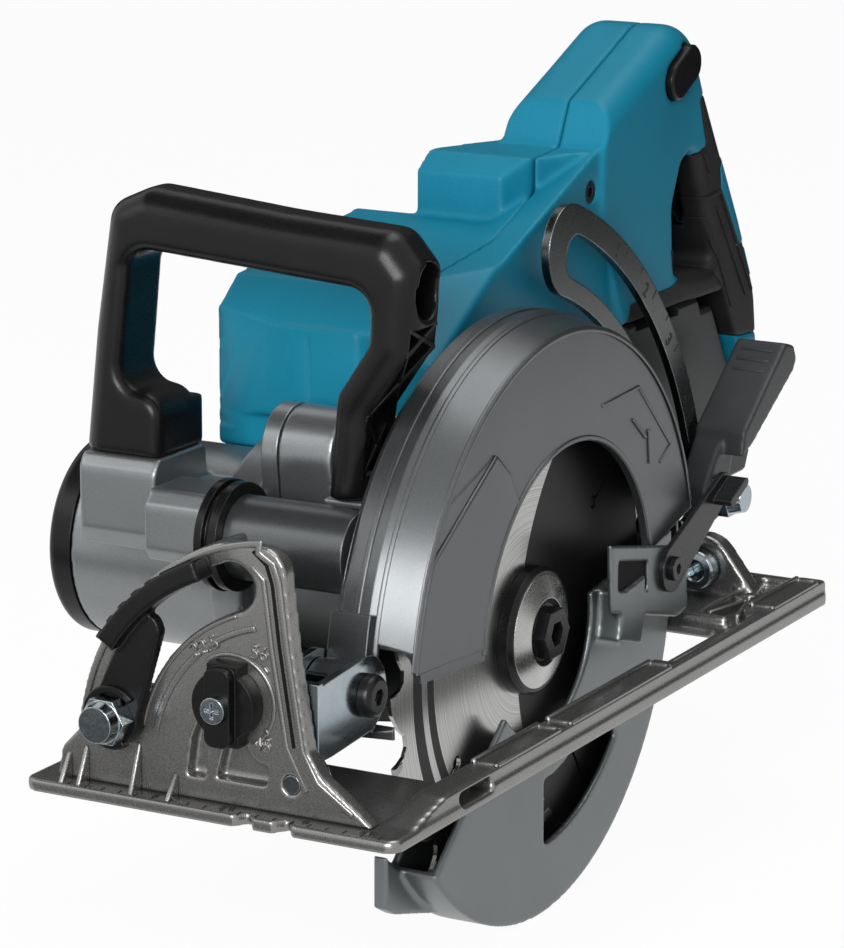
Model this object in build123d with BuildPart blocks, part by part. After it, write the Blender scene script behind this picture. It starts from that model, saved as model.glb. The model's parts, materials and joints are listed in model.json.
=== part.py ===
"""Cordless rear-handle circular saw, blade on the operator's left, built as a bench assembly.

Frame: +X along the blade axis and outboard on the blade side, +Y to the rear, +Z up.
The origin is on the sole, in the middle plane of the blade, straight below the arbor.
The saw stands at full depth of cut and at 0 degrees of bevel. All sizes are millimetres.
"""

import os
from math import atan2, cos, degrees, hypot, pi, radians, sin

from build123d import *

os.makedirs("parts", exist_ok=True)

# Driving dimensions: blade and cut
blade_r = 95.0
blade_t = 1.4
blade_bore_r = 15.0
tooth_count = 24
depth_of_cut = 68.5
arbor_z = blade_r - depth_of_cut

# Driving dimensions: base
base_left, base_right = -96.0, 39.0
base_front, base_rear = -160.6, 170.7
plate_t = 4.0
rim_top = 9.0
rim_inner = 27.5
window_left, window_right = -42.0, 25.5
window_front, window_rear = -97.0, 104.0

# Driving dimensions: pivots, as (x, z) for the bevel axis and (y, z) for the cross axes
bevel_x, bevel_z = -2.0, 14.0
depth_y, depth_z = -116.0, 34.0
clamp_y, clamp_z = 164.6, 37.0
guide_pin_y, guide_pin_z = 172.0, 14.0
bevel_bolt_x, bevel_bolt_z = -63.0, 28.5
stop_x, stop_z = -22.6, 38.0

# Driving dimensions: motor and gears, as (y, z)
motor_y, motor_z = -26.0, 48.0
motor_r = 35.3
motor_end_x = -153.0
idler_y, idler_z = -6.0, 47.7
gear_module = 1.0
spindle_teeth, idler_pinion_teeth = 26, 18
idler_wheel_teeth, rotor_teeth = 28, 12

# Driving dimensions: guards
upper_r = 108.0
upper_left, upper_right = -15.0, 14.0
upper_cavity_r = 104.5
wall = 3.0
lower_r = 100.4
lower_half = 7.6
lower_start, lower_end = -140.0, 8.0
hub_r = 19.9

# Driving dimensions: body shells and handles
split_x = -45.0
shell_right, shell_left = -28.0, -112.0
handle_left, handle_right = -68.0, -26.0
skin = 3.5
grip_front_y, grip_back_y = -76.0, -50.0
battery_left, battery_right = -109.0, -30.0


def at_x(x):
    """Plane square to the blade axis: local x is Y, local y is Z, normal is +X."""
    return Plane(origin=(x, 0, 0), x_dir=(0, 1, 0), z_dir=(1, 0, 0))


def at_y(y):
    """Plane square to the cut: local x is X, local y is Z, normal is towards the front."""
    return Plane(origin=(0, y, 0), x_dir=(1, 0, 0), z_dir=(0, -1, 0))


def polar(radius, angle, centre=(0.0, 0.0)):
    """Point at a radius and an angle in degrees about a centre."""
    a = radians(angle)
    return (centre[0] + radius * cos(a), centre[1] + radius * sin(a))


def face_of(points, mode=Mode.ADD):
    """Face of a closed outline of straight runs, for the sketch in hand."""
    Polygon(*points, mode=mode)


def disc(centre, radius, mode=Mode.ADD):
    """Circle at a centre in the sketch in hand."""
    with Locations(centre):
        Circle(radius, mode=mode)


def hull_of(*circles):
    """Convex outline round circles given as (centre, radius)."""
    for centre, radius in circles:
        with Locations(centre):
            Circle(radius)
    make_hull()


def sector(centre, inner, outer, start, end, mode=Mode.ADD):
    """Ring sector between two radii and two angles, for the sketch in hand."""
    mid = (start + end) / 2
    edges = []
    for radius in (inner, outer):
        stops = [polar(radius, angle, centre) for angle in (start, mid, end)]
        edges.append(Edge.make_three_point_arc(*stops))
    for angle in (start, end):
        edges.append(Edge.make_line(polar(inner, angle, centre), polar(outer, angle, centre)))
    make_face(edges, mode=mode)


def arc_slot(centre, radius, half, start, end, mode=Mode.SUBTRACT):
    """Round-ended slot along an arc, for the sketch in hand."""
    sector(centre, radius - half, radius + half, start, end, mode=mode)
    for angle in (start, end):
        disc(polar(radius, angle, centre), half, mode)


def gear_face(teeth, centre, phase):
    """Spur gear outline with slim straight-flanked teeth, the first tooth pointing at the phase."""
    pitch = gear_module * teeth / 2
    step = 360 / teeth
    flank = (
        (-0.24, pitch - 1.25 * gear_module),
        (-0.17, pitch),
        (-0.08, pitch + 0.8 * gear_module),
        (0.08, pitch + 0.8 * gear_module),
        (0.17, pitch),
        (0.24, pitch - 1.25 * gear_module),
    )
    points = []
    for i in range(teeth):
        for share, radius in flank:
            points.append(polar(radius, phase + (i + share) * step, centre))
    face_of(points)


arbor = (0.0, arbor_z)
motor = (motor_y, motor_z)
idler = (idler_y, idler_z)
depth_pivot = (depth_y, depth_z)
clamp = (clamp_y, clamp_z)
guide_pin_at = (guide_pin_y, guide_pin_z)
bevel = (bevel_x, bevel_z)
bevel_bolt_at = (bevel_bolt_x, bevel_bolt_z)
stop_at = (stop_x, stop_z)
made = []


def finish(part, label):
    """Name a finished piece and write it."""
    part.label = label
    export_step(part, f"parts/{label}.step")
    made.append(part)


# Base plate: a cast frame round the blade window, with a rim, ribs and the rear bevel ear
ear_y0, ear_y1 = 146.0, 154.0
rule_slot_y0, rule_slot_y1 = -117.0, -96.0
relief_y0, relief_y1 = 44.0, 118.0
with BuildPart() as base_plate:
    with BuildSketch(Plane.XY):
        with Locations(((base_left + base_right) / 2, (base_front + base_rear) / 2)):
            RectangleRounded(base_right - base_left, base_rear - base_front, 4)
        with Locations(((window_left + window_right) / 2, (window_front + window_rear) / 2)):
            RectangleRounded(window_right - window_left, window_rear - window_front, 6, mode=Mode.SUBTRACT)
    extrude(amount=plate_t)
    with BuildSketch(at_x(rim_inner)):
        face_of([(base_front + 4, 2), (-126, rim_top), (base_rear - 2, rim_top), (base_rear - 2, 2)])
    extrude(amount=base_right - 1.0 - rim_inner)
    with BuildSketch(at_x(base_left + 1.0)):
        face_of([(-128, 2), (-122, rim_top), (160, rim_top), (base_rear - 6, 2)])
    extrude(amount=6)
    with BuildSketch(Plane.XY.offset(2)):
        for x0, x1, y0, y1 in (
            (base_left + 1, -31, base_rear - 6.5, base_rear - 1),
            (-12, base_right - 1, base_rear - 6.5, base_rear - 1),
            (base_left + 1, base_right - 1, window_rear + 2, window_rear + 6),
            (12, 15, window_rear + 2, base_rear - 1),
            (-60, -57, window_rear + 2, base_rear - 1),
            (base_left + 1, -45, -62, -59),
            (base_left + 1, -45, 30, 33),
        ):
            with Locations(((x0 + x1) / 2, (y0 + y1) / 2)):
                Rectangle(x1 - x0, y1 - y0)
    extrude(amount=rim_top - 3.0)
    with BuildSketch(at_y(ear_y1)):
        disc(bevel, 12)
        with Locations((bevel_x, 3)):
            Rectangle(46, 2)
        make_hull()
    extrude(amount=ear_y1 - ear_y0)
    with BuildSketch(at_y(ear_y1 + 1)):
        disc(bevel, 7.0)
    extrude(amount=ear_y1 - ear_y0 + 2, mode=Mode.SUBTRACT)
    with BuildSketch(at_x(base_left - 1)):
        with Locations(((rule_slot_y0 + rule_slot_y1) / 2, 5.0)):
            Rectangle(rule_slot_y1 - rule_slot_y0, 4.4)
    extrude(amount=base_right - base_left + 2, mode=Mode.SUBTRACT)
    for x in (-15.0, -1.0):
        with BuildSketch(Plane.XY):
            face_of([(x - 4, base_front - 1), (x + 4, base_front - 1), (x, base_front + 5)])
        extrude(amount=plate_t + 1, mode=Mode.SUBTRACT)
    chamfer(base_plate.faces().sort_by(Axis.X)[-1].edges().filter_by(Axis.Y).sort_by(Axis.Z)[-1], 0.8)
    with BuildSketch(at_y(relief_y1)):
        face_of([
            (rim_inner - 1, plate_t), (rim_inner, plate_t), (rim_inner + 8.5, rim_top + 0.5),
            (rim_inner - 1, rim_top + 0.5),
        ])
    extrude(amount=relief_y1 - relief_y0, mode=Mode.SUBTRACT)
finish(base_plate.part, "base_plate")

# Front bevel bracket: the upright quadrant with the arc slot for the clamp bolt
web_y0, web_y1 = -153.0, -147.0
arch_r = 78.0
shoulder = (-4.6, 88.6)
pocket_depth = 4.2
slot_r = hypot(bevel_bolt_x - bevel_x, bevel_bolt_z - bevel_z)
slot_start = degrees(atan2(bevel_bolt_z - bevel_z, bevel_bolt_x - bevel_x))
bevel_max = 56.0
bolt_r = 4.0
with BuildPart() as front_bevel_bracket:
    with BuildSketch(at_y(web_y1)):
        with BuildLine():
            arch = ThreePointArc(polar(arch_r, 175, bevel), polar(arch_r, 142, bevel), polar(arch_r, 108, bevel))
            Polyline(arch @ 1, shoulder, (-1, 57), (4.2, 25), (9, 17.5), (22, 8), (27, plate_t))
            Polyline((27, plate_t), (-88, plate_t), (-86, 14), arch @ 0)
        face = make_face()
        fillet([v for v in face.vertices() if hypot(v.X - shoulder[0], v.Y - shoulder[1]) < 1], 9)
        arc_slot(bevel, slot_r + 1.0, 7.8, slot_start - bevel_max - 2.0, slot_start + 2.0)
        disc(stop_at, 4.0, Mode.SUBTRACT)
        disc(bevel, 3.1, Mode.SUBTRACT)
    extrude(amount=web_y1 - web_y0)
    with BuildSketch(at_y(web_y0 + pocket_depth)):
        face_of([(-34.4, 32), (-37.7, 24), (-39.5, 11.3), (-33.1, 11.3), (-31.9, 23), (-29.1, 30)])
        face_of([(-25.4, 25), (-28.8, 12), (-10.7, 12), (-10.2, 18.7), (-15.4, 19.8), (-18.5, 25)])
    extrude(amount=pocket_depth + 1, mode=Mode.SUBTRACT)
    with BuildSketch(at_y(-136)):
        sector(bevel, arch_r - 4.2, arch_r, 109, 174)
    extrude(amount=-136 - web_y1 + 1)
    with BuildSketch(Plane.XY.offset(plate_t)):
        with Locations((-55, -142)):
            Rectangle(62, 14)
    extrude(amount=3)
    with BuildSketch(Plane.XY.offset(plate_t)):
        with Locations((-74, -141), (-36, -141)):
            Circle(2.6)
    extrude(amount=3, mode=Mode.SUBTRACT)
finish(front_bevel_bracket.part, "front_bevel_bracket")

# Screws that hold the bracket's foot down
with BuildPart() as bracket_screws:
    with BuildSketch(Plane.XY.offset(plate_t)):
        with Locations((-74, -141), (-36, -141)):
            Circle(2.5)
    extrude(amount=3)
    with BuildSketch(Plane.XY.offset(plate_t + 3)):
        with Locations((-74, -141), (-36, -141)):
            Circle(4.5)
    extrude(amount=2.6)
    with BuildSketch(Plane.XY.offset(plate_t + 4)):
        with Locations((-74, -141), (-36, -141)):
            RegularPolygon(2.3, 6)
    extrude(amount=2, mode=Mode.SUBTRACT)
finish(bracket_screws.part, "bracket_screws")

# Rear bevel bush, standing proud of the ear towards the front
with BuildPart() as rear_bevel_bush:
    with BuildSketch(at_y(ear_y1)):
        disc(bevel, 7.0)
        disc(bevel, 3.55, Mode.SUBTRACT)
    extrude(amount=ear_y1 - ear_y0)
    with BuildSketch(at_y(ear_y0)):
        disc(bevel, 7.4)
        disc(bevel, 3.55, Mode.SUBTRACT)
    extrude(amount=6.5)
    chamfer(rear_bevel_bush.faces().sort_by(Axis.Y)[0].edges(), 0.7)
finish(rear_bevel_bush.part, "rear_bevel_bush")

# Bevel pins, front and rear, on which the whole saw tilts
tilt_y0, tilt_y1 = -146.4, -143.4
rear_tilt_y0, rear_tilt_y1 = 154.6, 157.8
with BuildPart() as bevel_pins:
    with BuildSketch(at_y(tilt_y1 + 0.3)):
        disc(bevel, 3.0)
    extrude(amount=tilt_y1 + 0.3 - web_y0 - 0.4)
    with BuildSketch(at_y(tilt_y1 + 3.0)):
        disc(bevel, 6.0)
    extrude(amount=2.7)
    with BuildSketch(at_y(rear_tilt_y1 + 0.3)):
        disc(bevel, 3.5)
    extrude(amount=rear_tilt_y1 + 0.3 - ear_y0)
    with BuildSketch(at_y(rear_tilt_y1 + 3.0)):
        disc(bevel, 6.5)
    extrude(amount=2.7)
finish(bevel_pins.part, "bevel_pins")

# Bevel stop knob: a three-way selector for the positive stops
knob_y0, knob_y1 = -163.0, -153.4
with BuildPart() as bevel_stop_knob:
    with BuildSketch(at_y(knob_y1)):
        disc(stop_at, 11)
        with Locations(stop_at):
            Rectangle(11, 26)
        with Locations(stop_at):
            Circle(2.1, mode=Mode.SUBTRACT)
    extrude(amount=6)
    with BuildSketch(at_y(knob_y1 - 6)):
        with Locations(stop_at):
            RectangleRounded(9, 25, 3)
            Circle(2.1, mode=Mode.SUBTRACT)
    extrude(amount=knob_y1 - 6 - knob_y0)
    with BuildSketch(at_y(web_y1 - 0.6)):
        disc(stop_at, 3.93)
        disc(stop_at, 2.1, Mode.SUBTRACT)
    extrude(amount=web_y1 - 0.6 - knob_y1)
finish(bevel_stop_knob.part, "bevel_stop_knob")

# Cross-head screw through the stop knob
with BuildPart() as bevel_stop_screw:
    with BuildSketch(at_y(web_y1 - 0.6)):
        disc(stop_at, 2.0)
    extrude(amount=web_y1 - 0.6 - knob_y0)
    with BuildSketch(at_y(knob_y0)):
        disc(stop_at, 4.2)
    extrude(amount=2.6)
    with BuildSketch(at_y(knob_y0 - 1.4)):
        with Locations(stop_at):
            Rectangle(5, 1.0)
            Rectangle(1.0, 5)
    extrude(amount=1.3, mode=Mode.SUBTRACT)
finish(bevel_stop_screw.part, "bevel_stop_screw")

# Front tilt plate: turns on the bevel pin, carries the clamp bolt and the fork of the depth pivot
fork_right, fork_left, fork_t = 4.0, -17.0, 3.0
fork_lobe = 12.5
fork_screw_r = 3.5
with BuildPart() as front_tilt_plate:
    with BuildSketch(at_y(tilt_y1)):
        hull_of((bevel, 9.0), (bevel_bolt_at, 7.0))
    extrude(amount=tilt_y1 - tilt_y0)
    with BuildSketch(at_y(tilt_y1)):
        face_of([(fork_left, 17), (fork_right, 17), (fork_right, 45), (fork_left, 45)])
    extrude(amount=tilt_y1 - tilt_y0)
    for x0 in (fork_left, fork_right - fork_t):
        with BuildSketch(at_x(x0)):
            disc(depth_pivot, fork_lobe)
            with Locations((tilt_y0 + 4.5, 32)):
                Rectangle(8, 24)
            make_hull()
        extrude(amount=fork_t)
    with BuildSketch(at_y(-128.5)):
        with Locations(((fork_left + fork_right) / 2, 33)):
            Rectangle(fork_right - fork_left, 21)
    extrude(amount=3)
    with BuildSketch(at_y(tilt_y1 + 1)):
        disc(bevel, 3.06)
        disc(bevel_bolt_at, bolt_r)
    extrude(amount=5, mode=Mode.SUBTRACT)
    with BuildSketch(at_x(fork_left - 1)):
        disc(depth_pivot, fork_screw_r)
    extrude(amount=24, mode=Mode.SUBTRACT)
finish(front_tilt_plate.part, "front_tilt_plate")

# Front clamp bolt, which slides along the arc slot with the tilt plate
lever_y0, lever_y1 = -159.0, -154.0
with BuildPart() as front_clamp_bolt:
    with BuildSketch(at_y(tilt_y1)):
        disc(bevel_bolt_at, bolt_r)
    extrude(amount=tilt_y1 + 167.0)
    with BuildSketch(at_y(tilt_y1 + 5)):
        with Locations(bevel_bolt_at):
            RegularPolygon(7.0, 6)
    extrude(amount=5)
finish(front_clamp_bolt.part, "front_clamp_bolt")

# Bevel lever on the front clamp bolt
lever_knee = (-51.5, 58.0)
with BuildPart() as bevel_lever:
    with BuildSketch(at_y(lever_y1)):
        disc(bevel_bolt_at, 9.0)
    extrude(amount=lever_y1 - lever_y0)
    with BuildSketch(at_y(lever_y1 - 1.0)):
        hull_of((bevel_bolt_at, 8.5), (lever_knee, 6.0))
    extrude(amount=4)
    with BuildSketch(at_y(lever_y1 - 0.2)):
        sector(bevel, 69, 75.6, 112, 147)
    extrude(amount=10)
    with BuildSketch(at_y(0)):
        disc(bevel_bolt_at, bolt_r + 0.06)
    extrude(amount=200, mode=Mode.SUBTRACT)
finish(bevel_lever.part, "bevel_lever")

# Domed nuts of the two clamp levers
nut_front_y = -169.5
with BuildPart() as bevel_lever_nut:
    with BuildSketch(at_y(lever_y0 - 0.1)):
        with Locations(bevel_bolt_at):
            RegularPolygon(8.2, 6)
    extrude(amount=6.5)
    with BuildSketch(at_y(lever_y0 - 6.6)):
        disc(bevel_bolt_at, 6.8)
    extrude(amount=lever_y0 - 6.6 - nut_front_y, taper=14)
    with BuildSketch(at_y(lever_y0)):
        disc(bevel_bolt_at, bolt_r + 0.06)
    extrude(amount=8.6, mode=Mode.SUBTRACT)
finish(bevel_lever_nut.part, "bevel_lever_nut")

# Depth pivot screw through the fork and the guard's lug
with BuildPart() as depth_pivot_screw:
    with BuildSketch(at_x(fork_left)):
        disc(depth_pivot, fork_screw_r - 0.03)
    extrude(amount=fork_right - fork_left + 0.2)
    with BuildSketch(at_x(fork_right + 0.1)):
        disc(depth_pivot, 7.0)
    extrude(amount=4.4)
    fillet(depth_pivot_screw.faces().sort_by(Axis.X)[-1].edges(), 2.2)
    with BuildSketch(at_x(fork_right + 2.4)):
        with Locations(depth_pivot):
            RegularPolygon(2.9, 6)
    extrude(amount=3, mode=Mode.SUBTRACT)
finish(depth_pivot_screw.part, "depth_pivot_screw")

# Rear tilt bracket: turns on the rear bevel pin and carries the foot of the depth guide
guide_x0, guide_x1 = -20.5, -17.5
ear_x0, ear_x1 = -24.3, -21.1
with BuildPart() as rear_tilt_bracket:
    with BuildSketch(at_y(rear_tilt_y1)):
        hull_of((bevel, 9.0), ((ear_x0 + 4, 20), 4.0), ((ear_x0 + 4, 10), 4.0))
        disc(bevel, 3.56, Mode.SUBTRACT)
    extrude(amount=rear_tilt_y1 - rear_tilt_y0)
    with BuildSketch(at_x(ear_x0)):
        disc(guide_pin_at, 8.0)
        with Locations((rear_tilt_y0 + 1.6, 15)):
            Rectangle(3.2, 18)
        make_hull()
        disc(guide_pin_at, 3.5, Mode.SUBTRACT)
    extrude(amount=ear_x1 - ear_x0)
finish(rear_tilt_bracket.part, "rear_tilt_bracket")

# Pin for the foot of the depth guide
with BuildPart() as guide_pin:
    with BuildSketch(at_x(ear_x0)):
        disc(guide_pin_at, 3.47)
    extrude(amount=guide_x1 + 0.3 - ear_x0)
    with BuildSketch(at_x(guide_x1 + 0.3)):
        disc(guide_pin_at, 6.0)
    extrude(amount=1.8)
finish(guide_pin.part, "guide_pin")

# Depth guide: a slotted arc link between the tilt bracket and the saw head
guide_centre = (12.0, -6.0)
guide_slot_r, guide_half = 158.5, 7.9
guide_inner, guide_outer = 143.5, 176.0
guide_end = 70.2
with BuildPart() as depth_guide:
    with BuildSketch(at_x(guide_x0)):
        sector(guide_centre, guide_inner, guide_outer, 13.0, guide_end)
        disc(polar((guide_inner + guide_outer) / 2, guide_end, guide_centre), (guide_outer - guide_inner) / 2)
        disc(guide_pin_at, 8.5)
        face_of([(163.6, 12), (180.4, 12), (183.4, 34), (160, 34)])
        arc_slot(guide_centre, guide_slot_r, guide_half, 14.2, guide_end - 2.0)
        disc(guide_pin_at, 3.53, Mode.SUBTRACT)
    extrude(amount=guide_x1 - guide_x0)
finish(depth_guide.part, "depth_guide")

# Upper guard: the cast blade case with its face, pivot lug, front tube and rear clamp arm
head_axis = Axis((0, 0, arbor_z), (1, 0, 0))
radial = Plane(origin=(0, 0, arbor_z), x_dir=(1, 0, 0), z_dir=(0, -1, 0))
tube = (-87.0, 71.0)
tube_r = 14.0
arm_x0, arm_x1 = -27.0, -22.0
clamp_r = 2.5
with BuildPart() as upper_guard:
    with BuildSketch(radial):
        face_of([
            (upper_left, 28.5), (upper_left, 105), (upper_left + 3, upper_r), (-2, upper_r),
            (upper_right, 104), (upper_right, 52), (upper_right - wall, 52), (upper_right - wall, 102),
            (9, upper_cavity_r), (-11, upper_cavity_r), (-11, 28.5),
        ])
    revolve(axis=head_axis, revolution_arc=360)
    with BuildSketch(at_x(upper_right - wall - 1)):
        disc((6.5, 29.0), 62.0)
    extrude(amount=wall + 2, mode=Mode.SUBTRACT)
    with BuildSketch(at_x(7.5)):
        face_of([(-130, -90), (-130, 37), (-50, 31), (0, 20), (60, 38), (104, 49), (130, 49), (130, -90)])
    extrude(amount=8, mode=Mode.SUBTRACT)
    with BuildSketch(at_x(upper_left - 1)):
        face_of([(-130, -90), (-130, 19), (-85, 15), (-60, 8), (60, 8), (86, 24), (130, 30), (130, -90)])
    extrude(amount=24, mode=Mode.SUBTRACT)
    for x0, x1 in ((upper_left - 1, fork_left + fork_t + 0.4), (fork_right - fork_t - 0.4, upper_right + 1)):
        with BuildSketch(at_x(x0)):
            disc(depth_pivot, 17.5)
        extrude(amount=x1 - x0, mode=Mode.SUBTRACT)
    with BuildSketch(at_x(fork_left + fork_t + 0.4)):
        disc(depth_pivot, 9.8)
        sector(arbor, upper_cavity_r, upper_r + 4, 164, 182)
    extrude(amount=fork_right - fork_left - 2 * fork_t - 0.8)
    with BuildSketch(at_x(-58)):
        disc(tube, tube_r)
    extrude(amount=-14 + 58)
    with BuildSketch(at_x(-58)):
        disc(tube, 10.5)
    extrude(amount=38, mode=Mode.SUBTRACT)
    with BuildSketch(at_x(arm_x0)):
        hull_of(((84, 62), 12.0), (clamp, 9.5))
    extrude(amount=arm_x1 - arm_x0)
    with BuildSketch(at_x(arm_x0)):
        disc((84, 62), 12.0)
    extrude(amount=upper_left + 1 - arm_x0)
    with BuildSketch(at_x(arm_x0 - 1)):
        disc(clamp, clamp_r)
    extrude(amount=8, mode=Mode.SUBTRACT)
    with BuildSketch(at_x(-25)):
        disc(depth_pivot, fork_screw_r + 0.03)
    extrude(amount=35, mode=Mode.SUBTRACT)
finish(upper_guard.part, "upper_guard")

# Ribbed collar that closes the front tube
with BuildPart() as tube_collar:
    for x0, x1, r in ((-66.0, -63.2, 18.5), (-63.2, -61.4, 16.5), (-61.4, -58.1, 18.0), (-58.1, -52.0, 10.4)):
        with BuildSketch(at_x(x0)):
            disc(tube, r)
        extrude(amount=x1 - x0)
finish(tube_collar.part, "tube_collar")

# Gear case, with its snout for the lower guard, bearing seats and two gear chambers
case_x0, case_x1 = -61.0, -15.3
hump_a, hump_b = (-46.0, 92.0), (-32.0, 91.0)
lock_x, lock_z = -30.0, 36.0
with BuildPart() as gear_case:
    with BuildSketch(at_x(case_x0)):
        hull_of((arbor, 17.5), (idler, 18.5), (motor, 30.0), (hump_a, 15.0), (hump_b, 11.0))
    extrude(amount=case_x1 - case_x0)
    fillet(gear_case.faces().sort_by(Axis.X)[-1].edges(), 4.0)
    with BuildSketch(Plane.XY.offset(72)):
        with Locations((-29, -61)):
            Rectangle(16, 22)
    extrude(amount=11.6)
    with BuildSketch(Plane.XY.offset(83.6)):
        with Locations((-27, -64.5)):
            Rectangle(27, 32)
    extrude(amount=40, mode=Mode.SUBTRACT)
    with BuildSketch(Plane.XY.offset(60)):
        with Locations((-29, -62)):
            Circle(2.1)
    extrude(amount=30, mode=Mode.SUBTRACT)
    with BuildSketch(at_x(case_x1 - 5)):
        disc(arbor, hub_r)
    extrude(amount=-7.6 - case_x1 + 5)
    with BuildSketch(at_x(case_x0)):
        hull_of((idler, 16.0), (motor, 22.0))
    extrude(amount=14.5, mode=Mode.SUBTRACT)
    with BuildSketch(at_x(-35.5)):
        hull_of((arbor, 15.0), (idler, 16.0))
    extrude(amount=11.5, mode=Mode.SUBTRACT)
    for centre, radius, x0, x1 in (
        (arbor, 8.5, -50.0, -7.0),
        (arbor, 13.5, -25.0, -16.0),
        (arbor, 13.0, -47.0, -35.0),
        (idler, 6.0, -47.0, -35.0),
        (idler, 8.0, -25.0, -17.0),
    ):
        with BuildSketch(at_x(x0)):
            disc(centre, radius)
        extrude(amount=x1 - x0, mode=Mode.SUBTRACT)
    with BuildSketch(at_y(-16)):
        disc((lock_x, lock_z), 3.05)
    extrude(amount=60, mode=Mode.SUBTRACT)
    with BuildSketch(at_y(-50)):
        disc((lock_x, lock_z), 6.1)
    extrude(amount=20, mode=Mode.SUBTRACT)
finish(gear_case.part, "gear_case")

# Bearing plate between the gear case and the motor
plate_x0, plate_x1 = -67.0, -61.1
screw_spots = ((-46.0, 97.0), (-30.0, 94.0), (9.0, 21.0))
with BuildPart() as bearing_plate:
    with BuildSketch(at_x(plate_x0)):
        hull_of((arbor, 17.5), (idler, 18.5), (motor, 30.0), (hump_a, 15.0), (hump_b, 11.0))
        disc(idler, 8.0, Mode.SUBTRACT)
        disc(motor, 9.0, Mode.SUBTRACT)
        for spot in screw_spots:
            disc(spot, 2.1, Mode.SUBTRACT)
    extrude(amount=plate_x1 - plate_x0)
finish(bearing_plate.part, "bearing_plate")

with BuildPart() as gear_case_screws:
    for spot in screw_spots:
        with BuildSketch(at_x(plate_x0)):
            disc(spot, 2.0)
        extrude(amount=plate_x1 - plate_x0)
        with BuildSketch(at_x(plate_x0 - 3)):
            disc(spot, 3.8)
        extrude(amount=3)
        with BuildSketch(at_x(plate_x0 - 3)):
            with Locations(spot):
                RegularPolygon(1.8, 6)
        extrude(amount=1.8, mode=Mode.SUBTRACT)
finish(gear_case_screws.part, "gear_case_screws")

# Motor housing with the beam that carries the front handle
motor_x0, motor_x1 = -143.0, -67.2
beam_x0, beam_x1 = -127.0, -67.2
pedestal_x1 = -97.0
flange_x0, flange_x1, flange_r = -83.0, plate_x0 - 3.2, 43.0
beam_top = 89.7
foot_screws = ((-121.0, -66.0), (-104.0, -66.0))
with BuildPart() as motor_housing:
    with BuildSketch(at_x(motor_x0)):
        disc(motor, motor_r)
    extrude(amount=motor_x1 - motor_x0)
    with BuildSketch(at_x(beam_x0)):
        face_of([(-76, 58), (-79, 64), (-79, 85), (-76, beam_top), (-47, beam_top), (-45, 76), (-52, 56)])
    extrude(amount=pedestal_x1 - beam_x0)
    with BuildSketch(at_x(pedestal_x1 - 1)):
        face_of([(-76, 58), (-79, 64), (-79, 75), (-76, 78), (-46, 78), (-52, 56)])
    extrude(amount=beam_x1 - pedestal_x1 + 1)
    with BuildSketch(at_x(flange_x0)):
        sector(motor, motor_r - 1, flange_r, 80, 200)
    extrude(amount=flange_x1 - flange_x0)
    with BuildSketch(at_x(-92)):
        face_of([(-91, 60), (-94, 64), (-94, 79), (-90, 84), (-70, 84), (-70, 58)])
    extrude(amount=beam_x1 + 92)
    with BuildSketch(at_x(motor_x0 - 1)):
        disc(motor, motor_r - wall)
    extrude(amount=motor_x1 - motor_x0 + 2, mode=Mode.SUBTRACT)
    with BuildSketch(Plane.XY.offset(50)):
        with Locations(*foot_screws):
            Circle(2.1)
    extrude(amount=50, mode=Mode.SUBTRACT)
    for i in range(9):
        with BuildSketch(at_x(-82)):
            sector(motor, motor_r - wall - 1, motor_r + 1, -120 + 14 * i, -113 + 14 * i)
        extrude(amount=10, mode=Mode.SUBTRACT)
finish(motor_housing.part, "motor_housing")

# End cap of the motor, with its vents and bearing seat
with BuildPart() as motor_end_cap:
    with BuildSketch(at_x(motor_end_x)):
        disc(motor, motor_r)
    extrude(amount=motor_x0 - 0.1 - motor_end_x)
    fillet(motor_end_cap.faces().sort_by(Axis.X)[0].edges(), 4.0)
    with BuildSketch(at_x(-150)):
        disc(motor, motor_r - wall)
        disc(motor, 12.5, Mode.SUBTRACT)
    extrude(amount=10, mode=Mode.SUBTRACT)
    with BuildSketch(at_x(-149.2)):
        disc(motor, 9.0)
    extrude(amount=10, mode=Mode.SUBTRACT)
    for i in range(7):
        with BuildSketch(at_x(motor_end_x - 1)):
            with Locations((motor_y, motor_z - 24 + 8 * i)):
                RectangleRounded(44 - 4 * abs(i - 3), 3, 1.4)
            disc(motor, 14, Mode.SUBTRACT)
        extrude(amount=6, mode=Mode.SUBTRACT)
finish(motor_end_cap.part, "motor_end_cap")

# Stator of the motor
with BuildPart() as stator:
    with BuildSketch(at_x(-128)):
        disc(motor, motor_r - wall - 0.05)
        disc(motor, 20.6, Mode.SUBTRACT)
        for i in range(6):
            sector(motor, 22.6, 29.0, 60 * i - 9, 60 * i + 9, Mode.SUBTRACT)
    extrude(amount=44)
finish(stator.part, "stator")


def bearing_rings(seats):
    """Plain bearing rings given as (centre, bore radius, outer radius, first x, last x)."""
    for centre, bore, outer, x0, x1 in seats:
        with BuildSketch(at_x(x0)) as ring:
            disc(centre, outer)
            disc(centre, bore, Mode.SUBTRACT)
        extrude(ring.sketch, amount=x1 - x0)


motor_shaft_r, idler_shaft_r, spindle_r = 4.45, 3.95, 7.5
with BuildPart() as motor_bearings:
    bearing_rings(((motor, motor_shaft_r + 0.05, 9.0, -66.6, -61.3), (motor, motor_shaft_r + 0.05, 9.0, -149.0, -143.6)))
finish(motor_bearings.part, "motor_bearings")

with BuildPart() as idler_bearings:
    bearing_rings(((idler, idler_shaft_r + 0.05, 8.0, -66.6, -61.3), (idler, idler_shaft_r + 0.05, 8.0, -23.0, -17.1)))
finish(idler_bearings.part, "idler_bearings")

with BuildPart() as spindle_bearings:
    bearing_rings(((arbor, spindle_r + 0.05, 13.5, -23.5, -16.1), (arbor, spindle_r + 0.05, 13.0, -46.2, -36.2)))
finish(spindle_bearings.part, "spindle_bearings")

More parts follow.
